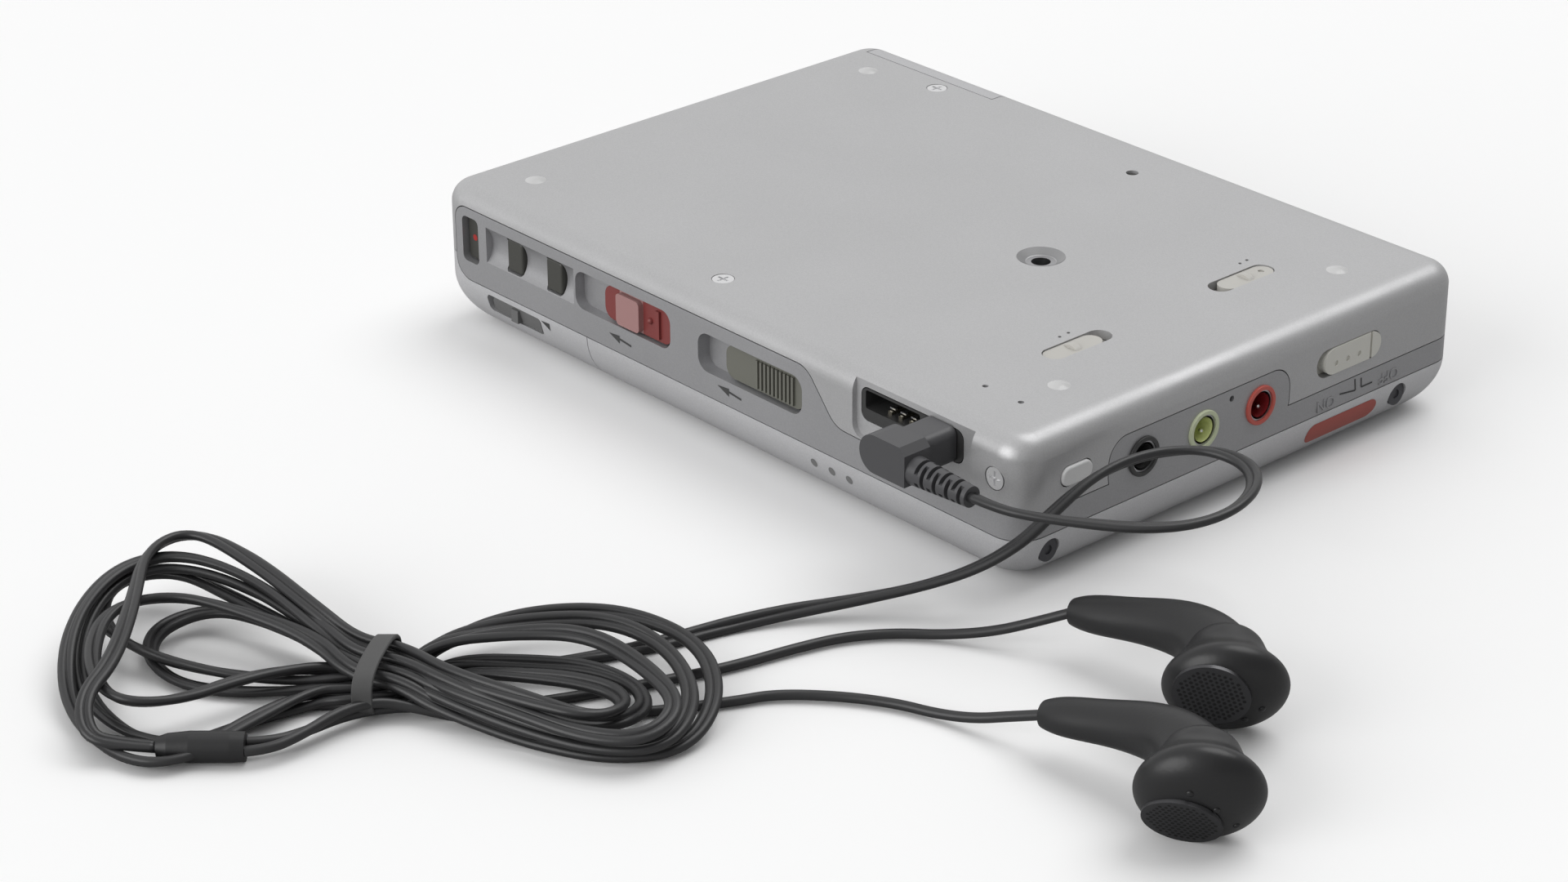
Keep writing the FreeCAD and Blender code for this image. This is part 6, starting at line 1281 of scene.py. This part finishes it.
@dataclass
class Earphones:
    """The holes of the grilles, as dark discs of painted shade, and the raised dots of the shells."""

    pitch: float = 0.64 * MM
    hole: float = 0.2 * MM
    spread: float = 0.12
    reach: float = 3.6 * MM
    lift: float = 0.015 * MM
    bump: float = 0.4 * MM
    seed: int = 7
    left_dots: tuple[tuple[Point, Point], ...] = (
        ((95.4, -43.1, 5.0), (0.8, -0.4, -0.45)), ((93.7, -43.9, 3.3), (0.65, -0.5, -0.55)),
        ((91.3, -45.4, 2.4), (0.5, -0.6, -0.6)),
    )
    right_dots: tuple[tuple[Point, Point], ...] = (
        ((105.7, -65.9, 8.5), (0.6, -0.75, -0.2)), ((107.4, -63.6, 6.3), (0.7, -0.6, -0.35)),
        ((107.8, -60.8, 3.5), (0.75, -0.4, -0.5)),
    )

    def punch(self) -> bpy.types.NodeTree:
        """Build the node group that sets one small disc on each point, turned to its normal; each disc is
        dark, painted shade for the inside of a hole.

        Returns:
            The geometry node group.
        """
        group = bpy.data.node_groups.new("punched_holes", "GeometryNodeTree")
        for label, kind, value in (
            ("Points", "Geometry", None), ("Hole radius", "Float", self.hole),
            ("Size spread", "Float", self.spread), ("Seed", "Int", self.seed),
        ):
            socket = group.interface.new_socket(label, in_out="INPUT", socket_type=f"NodeSocket{kind}")
            if value is not None:
                socket.default_value = value
        group.interface.new_socket("Holes", in_out="OUTPUT", socket_type="NodeSocketGeometry")
        given = add_node(group, "NodeGroupInput").outputs
        disc = add_node(group, "GeometryNodeMeshCircle", {
            "Vertices": 12, "Radius": given["Hole radius"],
        }, fill_type="NGON")
        facing = add_node(group, "GeometryNodeInputNamedAttribute", {
            "Name": "facing",
        }, data_type="FLOAT_VECTOR")
        align = add_node(
            group, "FunctionNodeAlignRotationToVector", {"Vector": facing.outputs["Attribute"]}, axis="Z",
        )
        chance = add_node(group, "FunctionNodeRandomValue", {
            "Min": -1.0, "Max": 1.0, "Seed": given["Seed"],
        }, data_type="FLOAT")
        drawn = next(socket for socket in chance.outputs if socket.enabled)
        place = add_node(group, "GeometryNodeInstanceOnPoints", {
            "Points": given["Points"], "Instance": disc.outputs["Mesh"],
            "Rotation": align.outputs["Rotation"],
            "Scale": add_math(group, "MULTIPLY_ADD", drawn, given["Size spread"], 1.0),
        })
        real = add_node(group, "GeometryNodeRealizeInstances", {"Geometry": place.outputs["Instances"]})
        # The discs get the near-black of painted shade.
        skin = add_node(group, "GeometryNodeSetMaterial", {
            "Geometry": real.outputs["Geometry"], "Material": HOLE_PAINTED_SHADE.material(),
        })
        add_node(group, "NodeGroupOutput", {"Holes": skin.outputs["Geometry"]})
        return group

    def holes(self, name: str, middle: Point, normal: Point, group: bpy.types.NodeTree) -> None:
        """Set the dark discs of painted shade that stand for the holes of one grille.

        Args:
            name: Name of the piece.
            middle: Middle of the grille in mm.
            normal: The way it faces.
            group: The node group that sets the holes.
        """
        outward = Vector(normal).normalized()
        side = outward.orthogonal().normalized()
        up = outward.cross(side)
        places, normals = [], []
        rows = int(self.reach / self.pitch) + 1
        for row in range(-rows, rows + 1):
            for column in range(-rows, rows + 1):
                right = (column + (row % 2) / 2) * self.pitch
                high = row * self.pitch * math.sqrt(0.75)
                if math.hypot(right, high) > self.reach:
                    continue
                start = Vector(middle) * MM + side * right + up * high + outward * 0.004
                place, facing = touch(("earphone_grilles",), start, -outward)
                places.append(place + facing * self.lift)
                normals += facing[:]
        mesh = bpy.data.meshes.new(name)
        mesh.from_pydata(places, [], [])
        mesh.attributes.new("facing", "FLOAT_VECTOR", "POINT").data.foreach_set("vector", normals)
        points = put(name, mesh)
        modifier = points.modifiers.new("holes", "NODES")
        modifier.node_group = group
        settings = {"Hole radius": self.hole, "Size spread": self.spread, "Seed": self.seed}
        for item in group.interface.items_tree:
            if item.in_out == "INPUT" and item.name in settings:
                modifier[item.identifier] = settings[item.name]
        graph = bpy.context.evaluated_depsgraph_get()
        plain = bpy.data.meshes.new_from_object(points.evaluated_get(graph))
        points.modifiers.clear()
        points.data = plain
        plain.materials.clear()
        plain.materials.append(HOLE_PAINTED_SHADE.material())
        settle(points)

    def dots(self, name: str, shell: str, spots: tuple[tuple[Point, Point], ...]) -> None:
        """Raise the small dots beside one grille.

        Args:
            name: Name of the piece.
            shell: The frame piece they stand on.
            spots: Place in mm and outward normal of each.
        """
        edit = bmesh.new()
        for spot, normal in spots:
            outward = Vector(normal).normalized()
            place, _ = touch((shell,), Vector(spot) * MM + outward * 0.002, -outward)
            turn = outward.to_track_quat("Z", "Y").to_matrix().to_4x4()
            flat = Matrix.Diagonal((1, 1, 0.6, 1))
            bmesh.ops.create_uvsphere(
                edit, u_segments=16, v_segments=10, radius=self.bump,
                matrix=Matrix.Translation(place) @ turn @ flat,
            )
        settle(finished_mesh(name, edit, BUD_SKIN))

    def build(self) -> None:
        """Set the painted-shade hole discs of both grilles and raise the dots."""
        group = self.punch()
        self.holes("left_holes", (91.9, -47.4, 7.0), (0.55, -0.79, -0.28), group)
        self.holes("right_holes", (103.7, -64.6, 3.8), (0.44, -0.72, -0.53), group)
        self.dots("left_bud_dots", "earphone_left_shell", self.left_dots)
        self.dots("right_bud_dots", "earphone_right_shell", self.right_dots)
        log.info("earphones punched")


def clear_start() -> None:
    """Remove Blender's own starting cube, lamp and camera."""
    for name in ("Cube", "Light", "Camera"):
        stray = bpy.data.objects.get(name)
        if stray is not None:
            bpy.data.objects.remove(stray)


def main() -> None:
    """Build the scene, piece by piece, and log each."""
    logging.basicConfig(level=logging.INFO, format="%(name)s: %(message)s")
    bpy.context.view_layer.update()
    clear_start()
    Studio().build()
    Cords().build()
    CaseDress().build()
    Markings().build()
    Jacks().build()
    Earphones().build()


if __name__ == "__main__":
    main()
